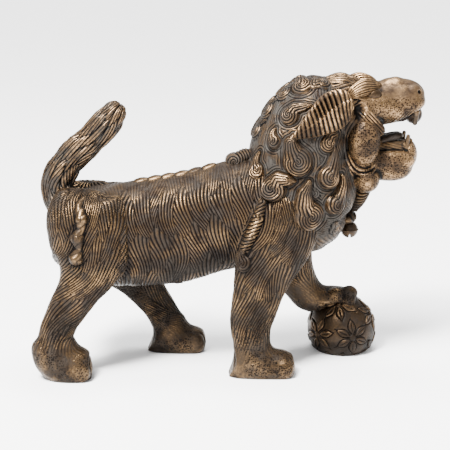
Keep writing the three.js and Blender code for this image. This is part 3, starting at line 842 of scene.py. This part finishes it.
def bronze(slot, dark, brown, gold, grey, dust):
    t = Tree(slot)
    phase, strength, dots = t.marks("flow")
    u, v, whirl = t.marks("whirl")
    rub_and_painted_light, ash, hollow = t.marks("tone")
    # The chased lines, from their phase in turns, and the whirl's, from its own coordinates.
    length = t.math("SQRT", t.math("ADD", t.times(u, u), t.times(v, v)))
    angle = t.math("DIVIDE", t.math("ARCTAN2", v, u), 2 * math.pi)
    turn = t.math("SUBTRACT", t.math("DIVIDE", length, CURL_PITCH), t.times(angle, ARMS))
    depth = t.math("MAXIMUM", strength, whirl)
    crown = t.lerp(whirl, t.ridge(phase), t.ridge(turn))
    groove = t.times(t.less(crown), depth, clamp=True)
    crown = t.less(groove)
    # Punched dots.
    cells = [("Vector", t.place()), ("Scale", 470.0), ("Randomness", 0.7)]
    gap = wire(t.tree, "ShaderNodeTexVoronoi", cells).outputs["Distance"]
    hole = t.times(t.ramp(gap, 0.32, 0.48, 1.0, 0.0), dots)
    # Rubbed gold on crowns and outward forms, which also carries the painted light and shade of the tone
    # marks, dark in the hollows, dust in patches between.
    patch = t.ramp(t.noise(38.0, 5.0, 0.62), 0.40, 0.60)
    fleck = t.ramp(t.noise(420.0, 3.0, 0.7), 0.30, 0.75)
    worn_and_painted_light = t.times(t.ramp(t.less(hollow), 0.28, 0.72), t.ramp(crown, 0.40, 1.0, 0.15, 1.0))
    worn_and_painted_light = t.times(worn_and_painted_light, t.scaled(patch, 0.90, 0.10))
    worn_and_painted_light = t.times(worn_and_painted_light, t.scaled(fleck, 0.60, 0.40))
    worn_and_painted_light = t.times(worn_and_painted_light, rub_and_painted_light, clamp=True)
    color = t.mix(worn_and_painted_light, brown, gold)
    ashen = t.times(t.ramp(t.noise(80.0, 5.0, 0.65), 0.35, 0.65), t.less(worn_and_painted_light))
    ashen = t.times(t.times(ashen, ash), dust * 1.6, clamp=True)
    color = t.mix(ashen, color, grey)
    shade = t.ramp(groove, 0.10, 0.60, 0.0, 0.98)
    # Hollows go nearly black: partly patina in the recesses, partly painted shade.
    shade = t.math("MAXIMUM", shade, t.ramp(hollow, 0.50, 0.76, 0.0, 0.97))
    shade = t.math("MAXIMUM", shade, t.times(hole, 0.92))
    color = t.mix(shade, color, dark)
    # Specks of verdigris in the hollows.
    green = t.times(t.ramp(t.noise(150.0, 4.0, 0.7), 0.66, 0.74), t.ramp(hollow, 0.45, 0.7))
    color = t.mix(t.times(green, 0.35), color, VERDIGRIS)
    metal = t.ramp(worn_and_painted_light, 0.0, 0.35, 0.05, 1.0)
    metal = t.times(metal, t.scaled(shade, -0.9, 1.0), clamp=True)
    rough = t.scaled(worn_and_painted_light, -0.06, 0.37)
    rough = t.scaled(ashen, 0.15, rough)
    height = t.math("SUBTRACT", t.times(fleck, 0.12), t.math("ADD", groove, hole))
    return t.close(color, metal, rough, height, 0.9, 0.0008, 0.04)


def steel():
    t = Tree("fixing_steel")
    grain = t.noise(600.0, 4.0, 0.6)
    color = t.mix(t.ramp(grain, 0.3, 0.7), (0.33, 0.33, 0.34), (0.42, 0.42, 0.43))
    rough = t.scaled(grain, 0.2, 0.3)
    return t.close(color, 0.95, rough, grain, 0.1, 0.0002, 0.3)


materials = {slot: bronze(slot, *row) for slot, row in PATINA.items()}
materials["fixing_steel"] = steel()


def slot_of(node):
    if "screw" in node or "bolt" in node or node == "ball_pin":
        return "fixing_steel"
    if node.startswith(("ear", "brow", "cheek")) or node in ("head", "lower_jaw"):
        return "bronze_gold"
    if node in ("tongue", "bell") or node.startswith("eye"):
        return "bronze_dark"
    if node == "brocade_ball":
        return "bronze_ball"
    if node in ("mane", "tail") or "curl" in node or "fang" in node:
        return "bronze_grey"
    return "bronze_brown"


# ---- Building a piece ----
built = set()


def build(node, b, values, relief):
    """Replaces a CAD node by a chased mesh. relief(points, normals) gives the height and the marks."""
    points, quads = quads_of(b, values)
    web = Web(points, quads)
    normal = web.normals(2)
    m = dict(h=0.0, phase=0.5, strength=0.0, dots=0.0, u=1.0, v=0.0, whirl=0.0, gold=0.8, grey=0.5)
    m.update(relief(points, normal))
    m["strength"] = m["strength"] * (1 - m["whirl"])
    # The soles stay flat, and what faces up gets more gold as painted light from above.
    h = m.pop("h") * step(points[:, 2], 0.4, 3.0)
    m["gold"] = m["gold"] + 0.35 * (normal[:, 2] - 0.3)
    web.p = points + normal * np.broadcast_to(h, (len(points),))[:, None]
    slot = slot_of(node)
    obj = mesh_object(node + "_look", web, marks_of(web, **m), materials[slot])
    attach(obj, "root")
    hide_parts(node)
    built.add(node)


# ---- Relief of the castings ----
def hump(v, width):
    """A rounded ridge of height 1 along v = 0."""
    return np.exp(-(v / width) ** 2)


def folded(p):
    """Coordinates with Y folded on to one side."""
    return p[:, 0], abs(p[:, 1]), p[:, 2]


def rims(p):
    """Two crescent ridges round each cheek, and how much of the other relief and lines they leave."""
    x, y, z = folded(p)
    q = np.sqrt(((x - 144) / 15.5) ** 2 + ((z - 253) / 24.5) ** 2)
    facing = step(y, 14, 22) * step(-(x - 144) * 0.8 - (z - 253) * 0.35, -4, 5)
    ridge = hump(q - 1.20, 0.07) + 0.85 * hump(q - 1.42, 0.07)
    mask = ridge * facing
    return 1.9 * ridge * facing, 1 - np.clip(mask, 0, 1), 1 - np.clip(mask * 1.5, 0, 1)


def fur(phase, edge, strength, tuft):
    """The height of chased lines and of the tufts they belong to."""
    return 0.6 * (stroke(phase) - 0.5) * strength + tuft * (edge - 0.6) * strength


def barrel_relief(p, n):
    x, y, z = p.T
    rows = np.array(BARREL)
    middle = np.interp(x, rows[:, 0], rows[:, 2])
    theta = np.arctan2(abs(y), z - middle)
    a = x + 5 * np.sin(theta * 2.2) + 2.5 * (noise(p, 30, 3) - 0.5)
    phase, edge, _ = tufts(a, theta * 53 + 8, 21, 46, 3.3, 1, 0.45, 3.4)
    strength = 0.35 + 0.65 * step(theta, 0.35, 0.85)
    strength = strength * (0.75 + 0.25 * edge)
    h = fur(phase, edge, strength, 0.45) + 1.2 * (noise(p, 17, 12) - 0.5)
    seam = hump(x + 112, 4.0) * step(theta, 0.5, 0.8)
    gold = 0.15 + 1.05 * noise(p, 24, 5) - 0.6 * seam - 0.4 * step(-theta, -0.75, -0.3)
    # The underside of the chest takes less gold as painted shade.
    gold = gold - 0.45 * step(x, -30, 20) * step(-theta, -2.0, -1.5)
    return dict(h=h - 1.0 * seam, phase=phase, strength=strength, gold=gold, grey=0.5 + 0.8 * noise(p, 34, 8))


def leg_relief(name):
    line, limb, _, _, _, toe, _ = LEGS[name]
    side = SIDES[name.split("_")[-1]]
    path = Path(placed(limb, line))
    hind = name.startswith("hind")
    near = name.endswith("right")

    def relief(p, n):
        s, oy, oa, k = path.unroll(p)
        radius = np.sqrt(path.w[k] * path.d[k])
        a = np.arctan2(oa, oy * side) * radius
        bias = 0.48 * s if hind else 0.12 * s
        phase, edge, _ = tufts(a - bias, s + 6 * noise(p, 24, 2), 17, 42, 3.25, 21 + 7 * hind, 0.4, 2.8)
        z = p[:, 2] - (toe[1] - 10)
        low = step(-z, -52, -26)
        strength = (1 - 0.85 * low) * (0.75 + 0.25 * edge)
        h = fur(phase, edge, strength, 0.4) + 1.0 * (noise(p, 15, 12) - 0.5)
        dots = step(-z, -95, -45) * step(noise(p, 14, 4), 0.36, 0.55)
        # Lines between the toes.
        across = p[:, 1] - line
        toes = hump(abs(across) - 9.2, 1.3) + hump(across, 1.3)
        front = step(p[:, 0], toe[0] - 14, toe[0] - 4) * step(-z, -26, -16)
        h = h - 1.5 * toes * front
        # The far legs take less gold than the near ones, as painted shade.
        gold = 0.20 + 1.1 * noise(p, 22, 6) - (0.0 if near else 0.2)
        # The plume's ribs.
        pts, radii, pitch = plumes[name]
        along, gap, over = trace(p, pts, radii)
        on = step(-gap, -1.6, 0.2)
        ribs = (along + 0.9 * over) / pitch
        phase = np.where(on > 0.3, ribs, phase)
        strength = np.where(on > 0.3, 0.5 if hind else 1.0, strength)
        h = h * (1 - on) + on * (0.3 if hind else 1.0) * (stroke(ribs) - 0.5)
        grey = 0.5 + 0.8 * noise(p, 30, 9)
        m = dict(h=h, phase=phase, strength=strength, dots=dots, gold=gold + 0.6 * on, grey=grey)
        if name in elbow_curls:
            add_whirl(elbow_curls[name], p, m, 0.75)
        return m

    return relief


def trace(p, pts, radii):
    """How far along a chain of rods points lie, their gap to its skin, and their offset along X."""
    best, along, over = np.full(len(p), 1e9), np.zeros(len(p)), np.zeros(len(p))
    start = 0.0
    for a, c, ra, rc in zip(pts, pts[1:], radii, radii[1:]):
        d = c - a
        length = np.linalg.norm(d)
        t = np.clip(((p - a) @ d) / length**2, 0, 1)
        off = p - a - t[:, None] * d
        gap = np.linalg.norm(off, axis=1) - (ra + (rc - ra) * t)
        nearer = gap < best
        best = np.where(nearer, gap, best)
        along = np.where(nearer, start + t * length, along)
        over = np.where(nearer, off[:, 0], over)
        start += length
    return along, best, over


def add_whirl(c, p, m, depth):
    """Gives the skin that belongs to a curl the curl's own coordinates and ribs."""
    cu, cv, cw = c.plane(*p.T)
    d, cu, cv = c.outline(cu, cv)
    on = step(-d, -0.9, 0.5) * (abs(cw) < 1.3 * c.r + 5)
    on = np.where(np.hypot(p[:, 0] - c.at[0], p[:, 2] - c.at[2]) < c.reach + 8, on, 0.0)
    ribs = stroke(spiral(cu, cv)) - 0.5
    inner = step(np.hypot(cu, cv), 0.3, 1.4)
    m["h"] = m["h"] * (1 - on) + on * depth * ribs * inner
    m["u"] = np.where(on > 0.3, cu, m.get("u", 1.0))
    m["v"] = np.where(on > 0.3, cv, m.get("v", 0.0))
    m["whirl"] = np.maximum(m.get("whirl", 0.0), on)


mane_path = Path(MANE)
# How far the ground's lines follow a curl's outline.
RING = 8


def mane_relief(p, n):
    s, oy, oa, k = mane_path.unroll(p)
    radius = np.sqrt(mane_path.w[k] * mane_path.d[k])
    a = np.arctan2(oa, abs(oy)) * radius
    phase, edge, _ = tufts(a + 0.35 * s, -s + 12 * noise(p, 30, 2), 22, 50, 3.4, 41, 0.6, 4.0)
    strength = 0.55 * (0.7 + 0.3 * edge)
    h = 0.6 * (stroke(phase) - 0.5) * strength + 0.5 * (edge - 0.55) + 1.6 * (noise(p, 15, 12) - 0.5)
    rim, bare, unlined = rims(p)
    h = h * bare + rim
    # The ground's lines run round the applied curls, which stand in furrows darkened with painted shade.
    gap = np.full(len(p), 99.0)
    for c in curls.values():
        cu, cv, cw = c.plane(*p.T)
        gap = np.minimum(gap, np.where(abs(cw) < c.r + RING, c.outline(cu, cv)[0], 99.0))
    ring = step(-gap, -RING - 1, -RING + 1) * bare
    turns = gap / CURL_PITCH
    phase = np.where(gap < RING, turns, phase)
    strength = np.where(gap < RING, 0.8 * unlined, strength * unlined)
    strength = strength * (1 - step(-abs(gap - RING), -0.8, 0))
    # Furrows round the curls, sunk into the skin and darkened in colour as painted shade.
    furrow_and_painted_shade = hump(np.maximum(gap, 0), 2.6)
    lines = 0.55 * (stroke(turns) - 0.5) + 0.8 * (noise(p, 15, 12) - 0.5)
    h = h * (1 - ring) + ring * lines - 0.9 * furrow_and_painted_shade
    grey = (0.6 + 0.7 * noise(p, 30, 9)) * (1 - 0.8 * furrow_and_painted_shade)
    m = dict(h=h, phase=phase, strength=strength, grey=grey)
    for c in mane_curls:
        add_whirl(c, p, m, 0.5)
    m["gold"] = 0.25 + 0.7 * noise(p, 20, 6) + 0.5 * m["whirl"] - 0.9 * furrow_and_painted_shade
    return m


tail_path = Path(TAIL)


def tail_relief(p, n):
    s, oy, oa, _ = tail_path.unroll(p)
    a = np.arctan2(oa, abs(oy)) * 17.0
    phase, edge, down = tufts(a, s, 10.5, 34, 3.5, 61, 0.2, 0.8)
    root = step(-s, -38, -22)
    h = 1.6 * (edge - 0.5) + 1.0 * (down - 0.5) * edge + 0.55 * (stroke(phase) - 0.5)
    gold = 0.55 + 0.65 * edge * (1 - 0.6 * root)
    return dict(h=h, phase=phase, strength=0.85, gold=gold, grey=0.5 + 0.7 * root + 0.4 * noise(p, 20, 2))


skull_path = Path(SKULL)


def head_relief(p, n):
    x, y, z = folded(p)
    s, oy, oa, _ = skull_path.unroll(p)
    a = np.arctan2(-oa, abs(oy)) * 28
    phase, edge, _ = tufts(a, -s, 12, 26, 3.2, 81, 0.3, 2.0)
    crown = step(-x, -146, -134) * step(z, 288, 298)
    # The ribbed roll at the mouth's corner and the line over the upper lip.
    roll = step(-abs((x - 152) + (z - 275) * 0.85), -9, -6) * step(-z, -290, -284)
    roll = roll * step(z, 258, 264) * step(y, 16, 20)
    lip = hump(z - 281 - 0.4 * (x - 190), 4.0) * step(x, 168, 176) * step(-x, -206, -196) * step(y, 8, 12)
    strength = np.clip(0.8 * crown + 0.9 * roll + 0.8 * lip, 0, 1)
    slant = np.where(roll > 0.2, (x * 0.72 + z * 0.69) / 3.1, (x * 0.8 - z * 0.6) / 3.0)
    phase = np.where(roll + lip > crown, slant, phase)
    muzzle = step(x, 140, 146) * step(-z, -303, -298) * step(y, 8, 12)
    nose = step(x, 166, 174) * step(z, 299, 303)
    dots = np.clip(muzzle * (1 - nose), 0, 1) * (1 - 0.9 * roll) * (1 - 0.6 * lip)
    rim, bare, unlined = rims(p)
    h = (0.7 * (stroke(phase) - 0.5) * strength + 1.0 * (edge - 0.6) * crown) * bare + rim
    strength = strength * unlined
    rim_z = 0.4 * (x - 184)
    inside = step(-z, -(276 + rim_z), -(272 + rim_z)) * step(-y, -14, -11) * step(x, 165, 172)
    back = step(-x, -146, -134)
    gold = 0.80 + 0.5 * noise(p, 18, 6) - 0.9 * inside + 0.2 * lip - 0.45 * back
    # A dark patch beside the nose bridge is painted shade of a hollow that the skin does not have.
    hollow = np.exp(-(((x - 173) / 10) ** 2 + ((z - 308) / 6.5) ** 2))
    chops = step(x, 192, 196) * step(-z, -278, -273)
    gold = gold - 1.1 * hollow - 0.7 * chops
    grey = 0.25 + 0.4 * noise(p, 20, 9) + 0.9 * back
    return dict(h=h, phase=phase, strength=strength, dots=dots * (1 - inside), gold=gold, grey=grey)


def jaw_relief(p, n):
    x, y, z = folded(p)
    front = step(x, 190, 194)
    inside = step(z, 241, 244) * (1 - front) + front * step(z, 249, 252)
    dots = (1 - inside) * step(-z, -(243 + 6 * front), -(240 + 6 * front))
    phase = (x * 0.3 + z) / 3.1
    strength = 0.45 * inside * step(-y, -18, -15)
    h = 0.5 * (stroke(phase) - 0.5) * strength + rims(p)[0]
    gold = 0.75 + 0.5 * noise(p, 18, 6) - 0.6 * inside
    grey = 0.3 + 0.5 * noise(p, 20, 9) + inside
    return dict(h=h, phase=phase, strength=strength, dots=dots, gold=gold, grey=grey)


RELIEF = {
    "barrel": barrel_relief, "mane": mane_relief, "tail": tail_relief, "head": head_relief,
    "lower_jaw": jaw_relief, **{leg: leg_relief(leg) for leg in LEGS},
}

LAP = 3.0
for name in CASTINGS:
    b = Box(*boxes[name])
    parts = raw(b)
    whole = fused(parts)
    # A seam runs where this casting and the nearest other one are equally far, and it laps under the other.
    across = (parts.pop(name) - np.minimum.reduce(list(parts.values()))) / 2
    build(name, b, np.maximum(whole + np.maximum(across, 0), across - LAP), RELIEF[name])


# ---- Curls and the small castings ----
def lattice(b):
    grid = np.stack(np.broadcast_arrays(b.x, b.y, b.z), -1).reshape(-1, 3)
    return grid.astype(float)


for name, c in curls.items():
    b = Box(c.at - c.reach - ROOM, c.at + c.reach + ROOM, CURL_VOX)
    ground = mane_near.box.sample(mane_near.values, lattice(b)).reshape(b.shape).astype(np.float32)

    def relief(p, n, c=c):
        m = dict(h=0.0, gold=1.05 + 0.5 * noise(p, 14, 3), grey=0.35)
        add_whirl(c, p, m, 0.55)
        return m

    build(name, b, c.solid(b, ground), relief)

EAR = [(127, 40, 301, 4, 9), (119, 44, 298, 6.5, 17), (107, 48, 291, 7, 20.5), (94, 51, 282, 7, 17),
       (80, 53, 273, 5.5, 10.5), (66, 54, 265, 2.5, 3)]
BROW = [(125, 30, 303, 2, 3), (132, 29, 308, 6, 7), (144, 25, 313, 8, 9), (154, 21, 314, 6.5, 6),
        (162, 19, 313, 2, 2)]
BEARD = [(150, 0, 208, 11, 8), (147, 0, 197, 14, 9.5), (141, 0, 184, 12, 9), (137, 0, 173, 6, 5)]
TONGUE = [(150, 0, 246, 9, 4), (160, 0, 250, 12, 5), (174, 0, 254, 12, 5), (185, 0, 256, 10, 4.5),
          (190, 0, 255, 5, 3)]


def mirrored(stations, side):
    return [(x, y * side, z, w, d) for x, y, z, w, d in stations]


def lofted(node, stations, relief):
    skin = loft(stations, 10, 72)
    b = Box(skin[0].min(0) - ROOM, skin[0].max(0) + ROOM, SMALL)
    build(node, b, b.read(field_of(skin, SMALL)), relief)


def even(**marks):
    """A relief without height, with the same marks all over."""
    return lambda p, n: marks


def coil_of(u, v, sink, gold):
    """The relief of one whirl over a whole piece."""
    return dict(h=0.8 * (stroke(spiral(u, v)) - sink), u=u, v=v, whirl=1.0, gold=gold, grey=0.4)


for side_name, side in SIDES.items():
    ear = Path(mirrored(EAR, side), 12)

    def ear_relief(p, n, ear=ear, side=side):
        s, _, _, k = ear.unroll(p)
        rise = p[:, 2] - ear.c[k, 2]
        up = rise / ear.d[k]
        out = step(n[:, 1] * side, 0.0, 0.45)
        phase = (s + 0.42 * rise - 0.006 * rise * abs(rise)) / 5.0
        ribs = stroke(phase)
        upper = step(up, 0.10, 0.22) * step(-up, -0.76, -0.66) * step(s, 14, 20) * step(-s, -46, -40)
        h = out * (1.3 * (ribs - 0.75) * (1 - upper) + upper * (4.2 * (ribs - 1.0)))
        h = h + 0.9 * out * hump(up - 0.14, 0.06)
        return dict(h=h, phase=phase, strength=0.75 * out, gold=1.0 - 0.4 * upper, grey=0.35)

    lofted(f"ear_{side_name}", mirrored(EAR, side), ear_relief)
    brow = Path(mirrored(BROW, side), 12)

    def brow_relief(p, n, brow=brow, side=side):
        s, oy, oa, _ = brow.unroll(p)
        a = np.arctan2(oa, oy * side) * 7
        phase = (a + 1.2 * np.sin(s / 8)) / 2.7
        return dict(h=0.6 * (stroke(phase) - 0.5), phase=phase, strength=0.75, gold=1.2, grey=0.2)

    lofted(f"brow_{side_name}", mirrored(BROW, side), brow_relief)

    for name, at, radius, relief in (
        ("eye", (153, 23, 304.5), (9, 6.5, 6.5), even(gold=0.6, grey=0.0)),
        ("cheek", (143.5, 28, 254), (17.5, 14.5, 25.5), even(dots=1.0, gold=1.1, grey=0.25)),
    ):
        at = np.array(at, float) * (1, side, 1)
        b = Box(at - np.array(radius) - ROOM, at + np.array(radius) + ROOM, SMALL)
        build(f"{name}_{side_name}", b, ball_field(b, at, radius), relief)
    for name, ends, r in (
        ("upper_fang", ((201, 10.5, 271.5), (202, 11, 283)), 3.8),
        ("lower_fang", ((194, 12, 257), (192, 12, 245)), 3.0),
    ):
        ends = np.array(ends, float) * (1, side, 1)
        b = Box(ends.min(0) - r - ROOM, ends.max(0) + r + ROOM, 0.5)
        build(f"{name}_{side_name}", b, rod_field(b, *ends, 0.75 * r, r), even(gold=0.7, grey=0.5))


def beard_relief(p, n):
    phase = (abs(p[:, 1]) * 0.5 + p[:, 2] * 0.85) / 3.3 + 0.3 * np.sin(p[:, 1] / 6)
    return dict(h=0.7 * (stroke(phase) - 0.5), phase=phase, strength=0.8, dots=0.4, gold=0.7, grey=0.5)


def tongue_relief(p, n):
    return dict(h=-1.4 * hump(p[:, 1], 2.2) * step(n[:, 2], 0.2, 0.6), gold=0.6, grey=0.6)


lofted("throat_beard", BEARD, beard_relief)
lofted("tongue", TONGUE, tongue_relief)

# The knot on the chest, with a whirl on its front.
b = Box((117, -16, 154), (145, 16, 178), SMALL)
knot = smax(ball_field(b, (131, 0, 166), (10.5, 12.5, 8.5)), -(b.z - 157.8) + 0 * b.x + 0 * b.y, 1)
build("chest_knot", b, knot, lambda p, n: coil_of(abs(p[:, 1]) - 5.5, p[:, 2] - 166, 0.5, 0.9))

# The bell under it, with a band and a slot.
b = Box((122, -12, 139), (146, 12, 165), SMALL)
bell = ball_field(b, (134, 0, 151), (9.5, 9.5, 9.5))
band = np.sqrt((np.hypot(b.x - 134, b.y) - 9.3) ** 2 + (b.z - 151) ** 2) - 1.0
bell = smin(bell, band, 0.8)
slot = np.maximum(abs(b.x - 134) - 1.1, np.maximum(b.z - 147, abs(b.y) - 12))
bell = smax(bell, -slot, 0.5)
build("bell", b, bell, even(gold=0.8, grey=0.4))

# The crest of lozenges and the curl at the foot of the mane.
low, high = (np.array(c) * 1000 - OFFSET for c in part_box("spine_crest"))
b = Box(low - 4, high + 4, CURL_VOX)
top = Surface(low - 12, high + 12, ["barrel"])
ground = top.box.sample(top.values, lattice(b)).reshape(b.shape)
crest = []
LOZENGES, FIRST, SPACING = 6, -95.5, 14.7
HALF_LENGTH, HALF_WIDTH, SQUARENESS = 8.6, 6.2, 2.4
for k in range(LOZENGES):
    u, w = (b.x - (FIRST + k * SPACING)) / HALF_LENGTH, b.y / HALF_WIDTH
    lozenge = (np.sqrt(abs(u) ** SQUARENESS + abs(w) ** SQUARENESS) - 1) * 4.0
    rise = 2.9 * np.sqrt(np.clip(-lozenge / 4.0, 0, 1)) - 1.8 * np.maximum(lozenge, 0)
    crest.append(ground - rise - 0.4)
crest = np.maximum(np.minimum.reduce(crest) * 0.8, -(ground + 1.6))
build("spine_crest", b, crest, even(gold=0.75, grey=0.3))
b = Box((-8, -20, 214), (26, 20, 248), CURL_VOX)
curl = ball_field(b, (8, 0, 230), (12, 14.5, 9))
curl = smin(curl, ball_field(b, (19, 0, 236), (10, 13, 7)), 4)
build("spine_curl", b, curl, lambda p, n: coil_of(p[:, 0] - 6, p[:, 2] - 231, 0.55, 0.8))

# ---- The brocade ball ----
b = Box(BALL - BALL_R - 3, BALL + BALL_R + 3, 0.8)
ball = ball_field(b, BALL, (BALL_R, BALL_R, BALL_R))
ball = smax(ball, -(b.z + 0 * b.x + 0 * b.y), 1.0)
# Six-petalled flowers stand at the corners of an icosahedron, turned a little about the vertical.
PETALS = 6
PHI = (1 + math.sqrt(5)) / 2
TURN = 0.35
cos, sin = math.cos(TURN), math.sin(TURN)
FLOWERS = np.array([
    np.array(v, float) / math.hypot(1, PHI)
    for i, j in itertools.product((-1, 1), repeat=2)
    for v in ((0, i, j * PHI), (i, j * PHI, 0), (j * PHI, 0, i))
]) @ np.array([[cos, -sin, 0], [sin, cos, 0], [0, 0, 1]])


def ball_relief(p, n):
    d = unit(p - BALL)
    dots = d @ FLOWERS.T
    pole = FLOWERS[dots.argmax(1)]
    rho = np.arccos(np.clip(dots.max(1), -1, 1)) * BALL_R
    e1 = unit(np.cross(pole, np.array([0.3, 0.5, 0.81])))
    e2 = np.cross(pole, e1)
    theta = np.arctan2((d * e2).sum(1), (d * e1).sum(1))
    petal = 2 * math.pi / PETALS
    t = theta - np.round(theta / petal) * petal
    along, off = rho * np.cos(t), abs(rho * np.sin(t))
    width = 4.4 * np.sin(math.pi * np.clip((along - 3) / 18, 0, 1))
    inside = step(width - off, -0.2, 1.0)
    rim = hump(off - width, 0.75) * step(along, 3, 5)
    vein = hump(off, 0.6) * step(along, 6, 8) * step(-along, -19, -16)
    boss = step(-rho, -4.0, -2.6)
    h = 1.1 * inside - 1.0 * rim - 0.8 * vein + 1.2 * boss
    h = h * step(p[:, 2], 1.5, 4)
    lines = np.clip(rim + vein, 0, 1)
    return dict(h=h, phase=0.5 - 0.5 * lines, strength=0.9, gold=0.55 + 0.5 * inside, grey=0.5)


build("brocade_ball", b, ball, ball_relief)

# The hidden fixings and the plate keep the CAD's own meshes.
for node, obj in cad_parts.items():
    if node not in built:
        obj.data.materials.clear()
        obj.data.materials.append(materials[slot_of(node)])

# ---- Stage, light and camera ----
paper = Tree("floor")
paint = [("Base Color", (0.93, 0.93, 0.93, 1)), ("Roughness", 0.8)]
shader = wire(paper.tree, "ShaderNodeBsdfPrincipled", paint)
wire(paper.tree, "ShaderNodeOutputMaterial", [(0, shader.outputs[0])])
bpy.ops.mesh.primitive_plane_add(size=24, location=(0, 0, -0.0004))
floor = bpy.context.object
floor.name = "floor"
floor.data.materials.append(paper.material)

world = bpy.data.worlds.new("studio")
bpy.context.scene.world = world
world.use_nodes = True
background = world.node_tree.nodes["Background"].inputs
background["Color"].default_value = (1.0, 1.0, 1.0, 1.0)
background["Strength"].default_value = 1.15
MIDDLE = Vector((0, 0, 0.16))


def area(name, at, size, power, color):
    """A soft light aimed at the lion's middle, with its power in watts."""
    light = bpy.data.lights.new(name, "AREA")
    light.shape = "RECTANGLE"
    light.size, light.size_y = size
    light.energy = power
    light.color = color
    obj = bpy.data.objects.new(name, light)
    obj.location = at
    obj.rotation_euler = (MIDDLE - Vector(at)).to_track_quat("-Z", "Y").to_euler()
    bpy.context.scene.collection.objects.link(obj)


area("key", (-0.9, -1.2, 2.1), (0.5, 0.5), 260.0, (1.0, 0.985, 0.96))
area("top", (0.2, 0.3, 1.8), (0.8, 0.4), 40.0, (1, 1, 1))
sun = bpy.data.lights.new("sun", "SUN")
sun.energy = 9.0
sun.angle = math.radians(20)
sky = bpy.data.objects.new("sun", sun)
sky.rotation_euler = (math.radians(20), math.radians(-16), 0)
bpy.context.scene.collection.objects.link(sky)

# The photograph's camera: 3 degrees round from a square side view, 14 degrees up and 1.45 m away.
azimuth, elevation, distance = math.radians(-3.0), math.radians(14.0), 1.45
back = Vector((math.sin(azimuth) * math.cos(elevation), -math.cos(azimuth) * math.cos(elevation),
               math.sin(elevation)))
right = Vector((math.cos(azimuth), math.sin(azimuth), 0))
up = back.cross(right)
# The last two shifts put the lion where the photograph has it.
aim = Vector((0, 0, 0.165)) + Vector([c / 1000 for c in OFFSET]) - right * 0.00385 - up * 0.00715
camera = bpy.data.cameras.new("camera")
camera.lens = 105.45
camera.sensor_width = 36.0
camera.clip_start = 0.05
camera.clip_end = 100
eye = bpy.data.objects.new("camera", camera)
eye.location = aim + back * distance
eye.rotation_euler = (-back).to_track_quat("-Z", "Y").to_euler()
bpy.context.scene.collection.objects.link(eye)
bpy.context.scene.camera = eye
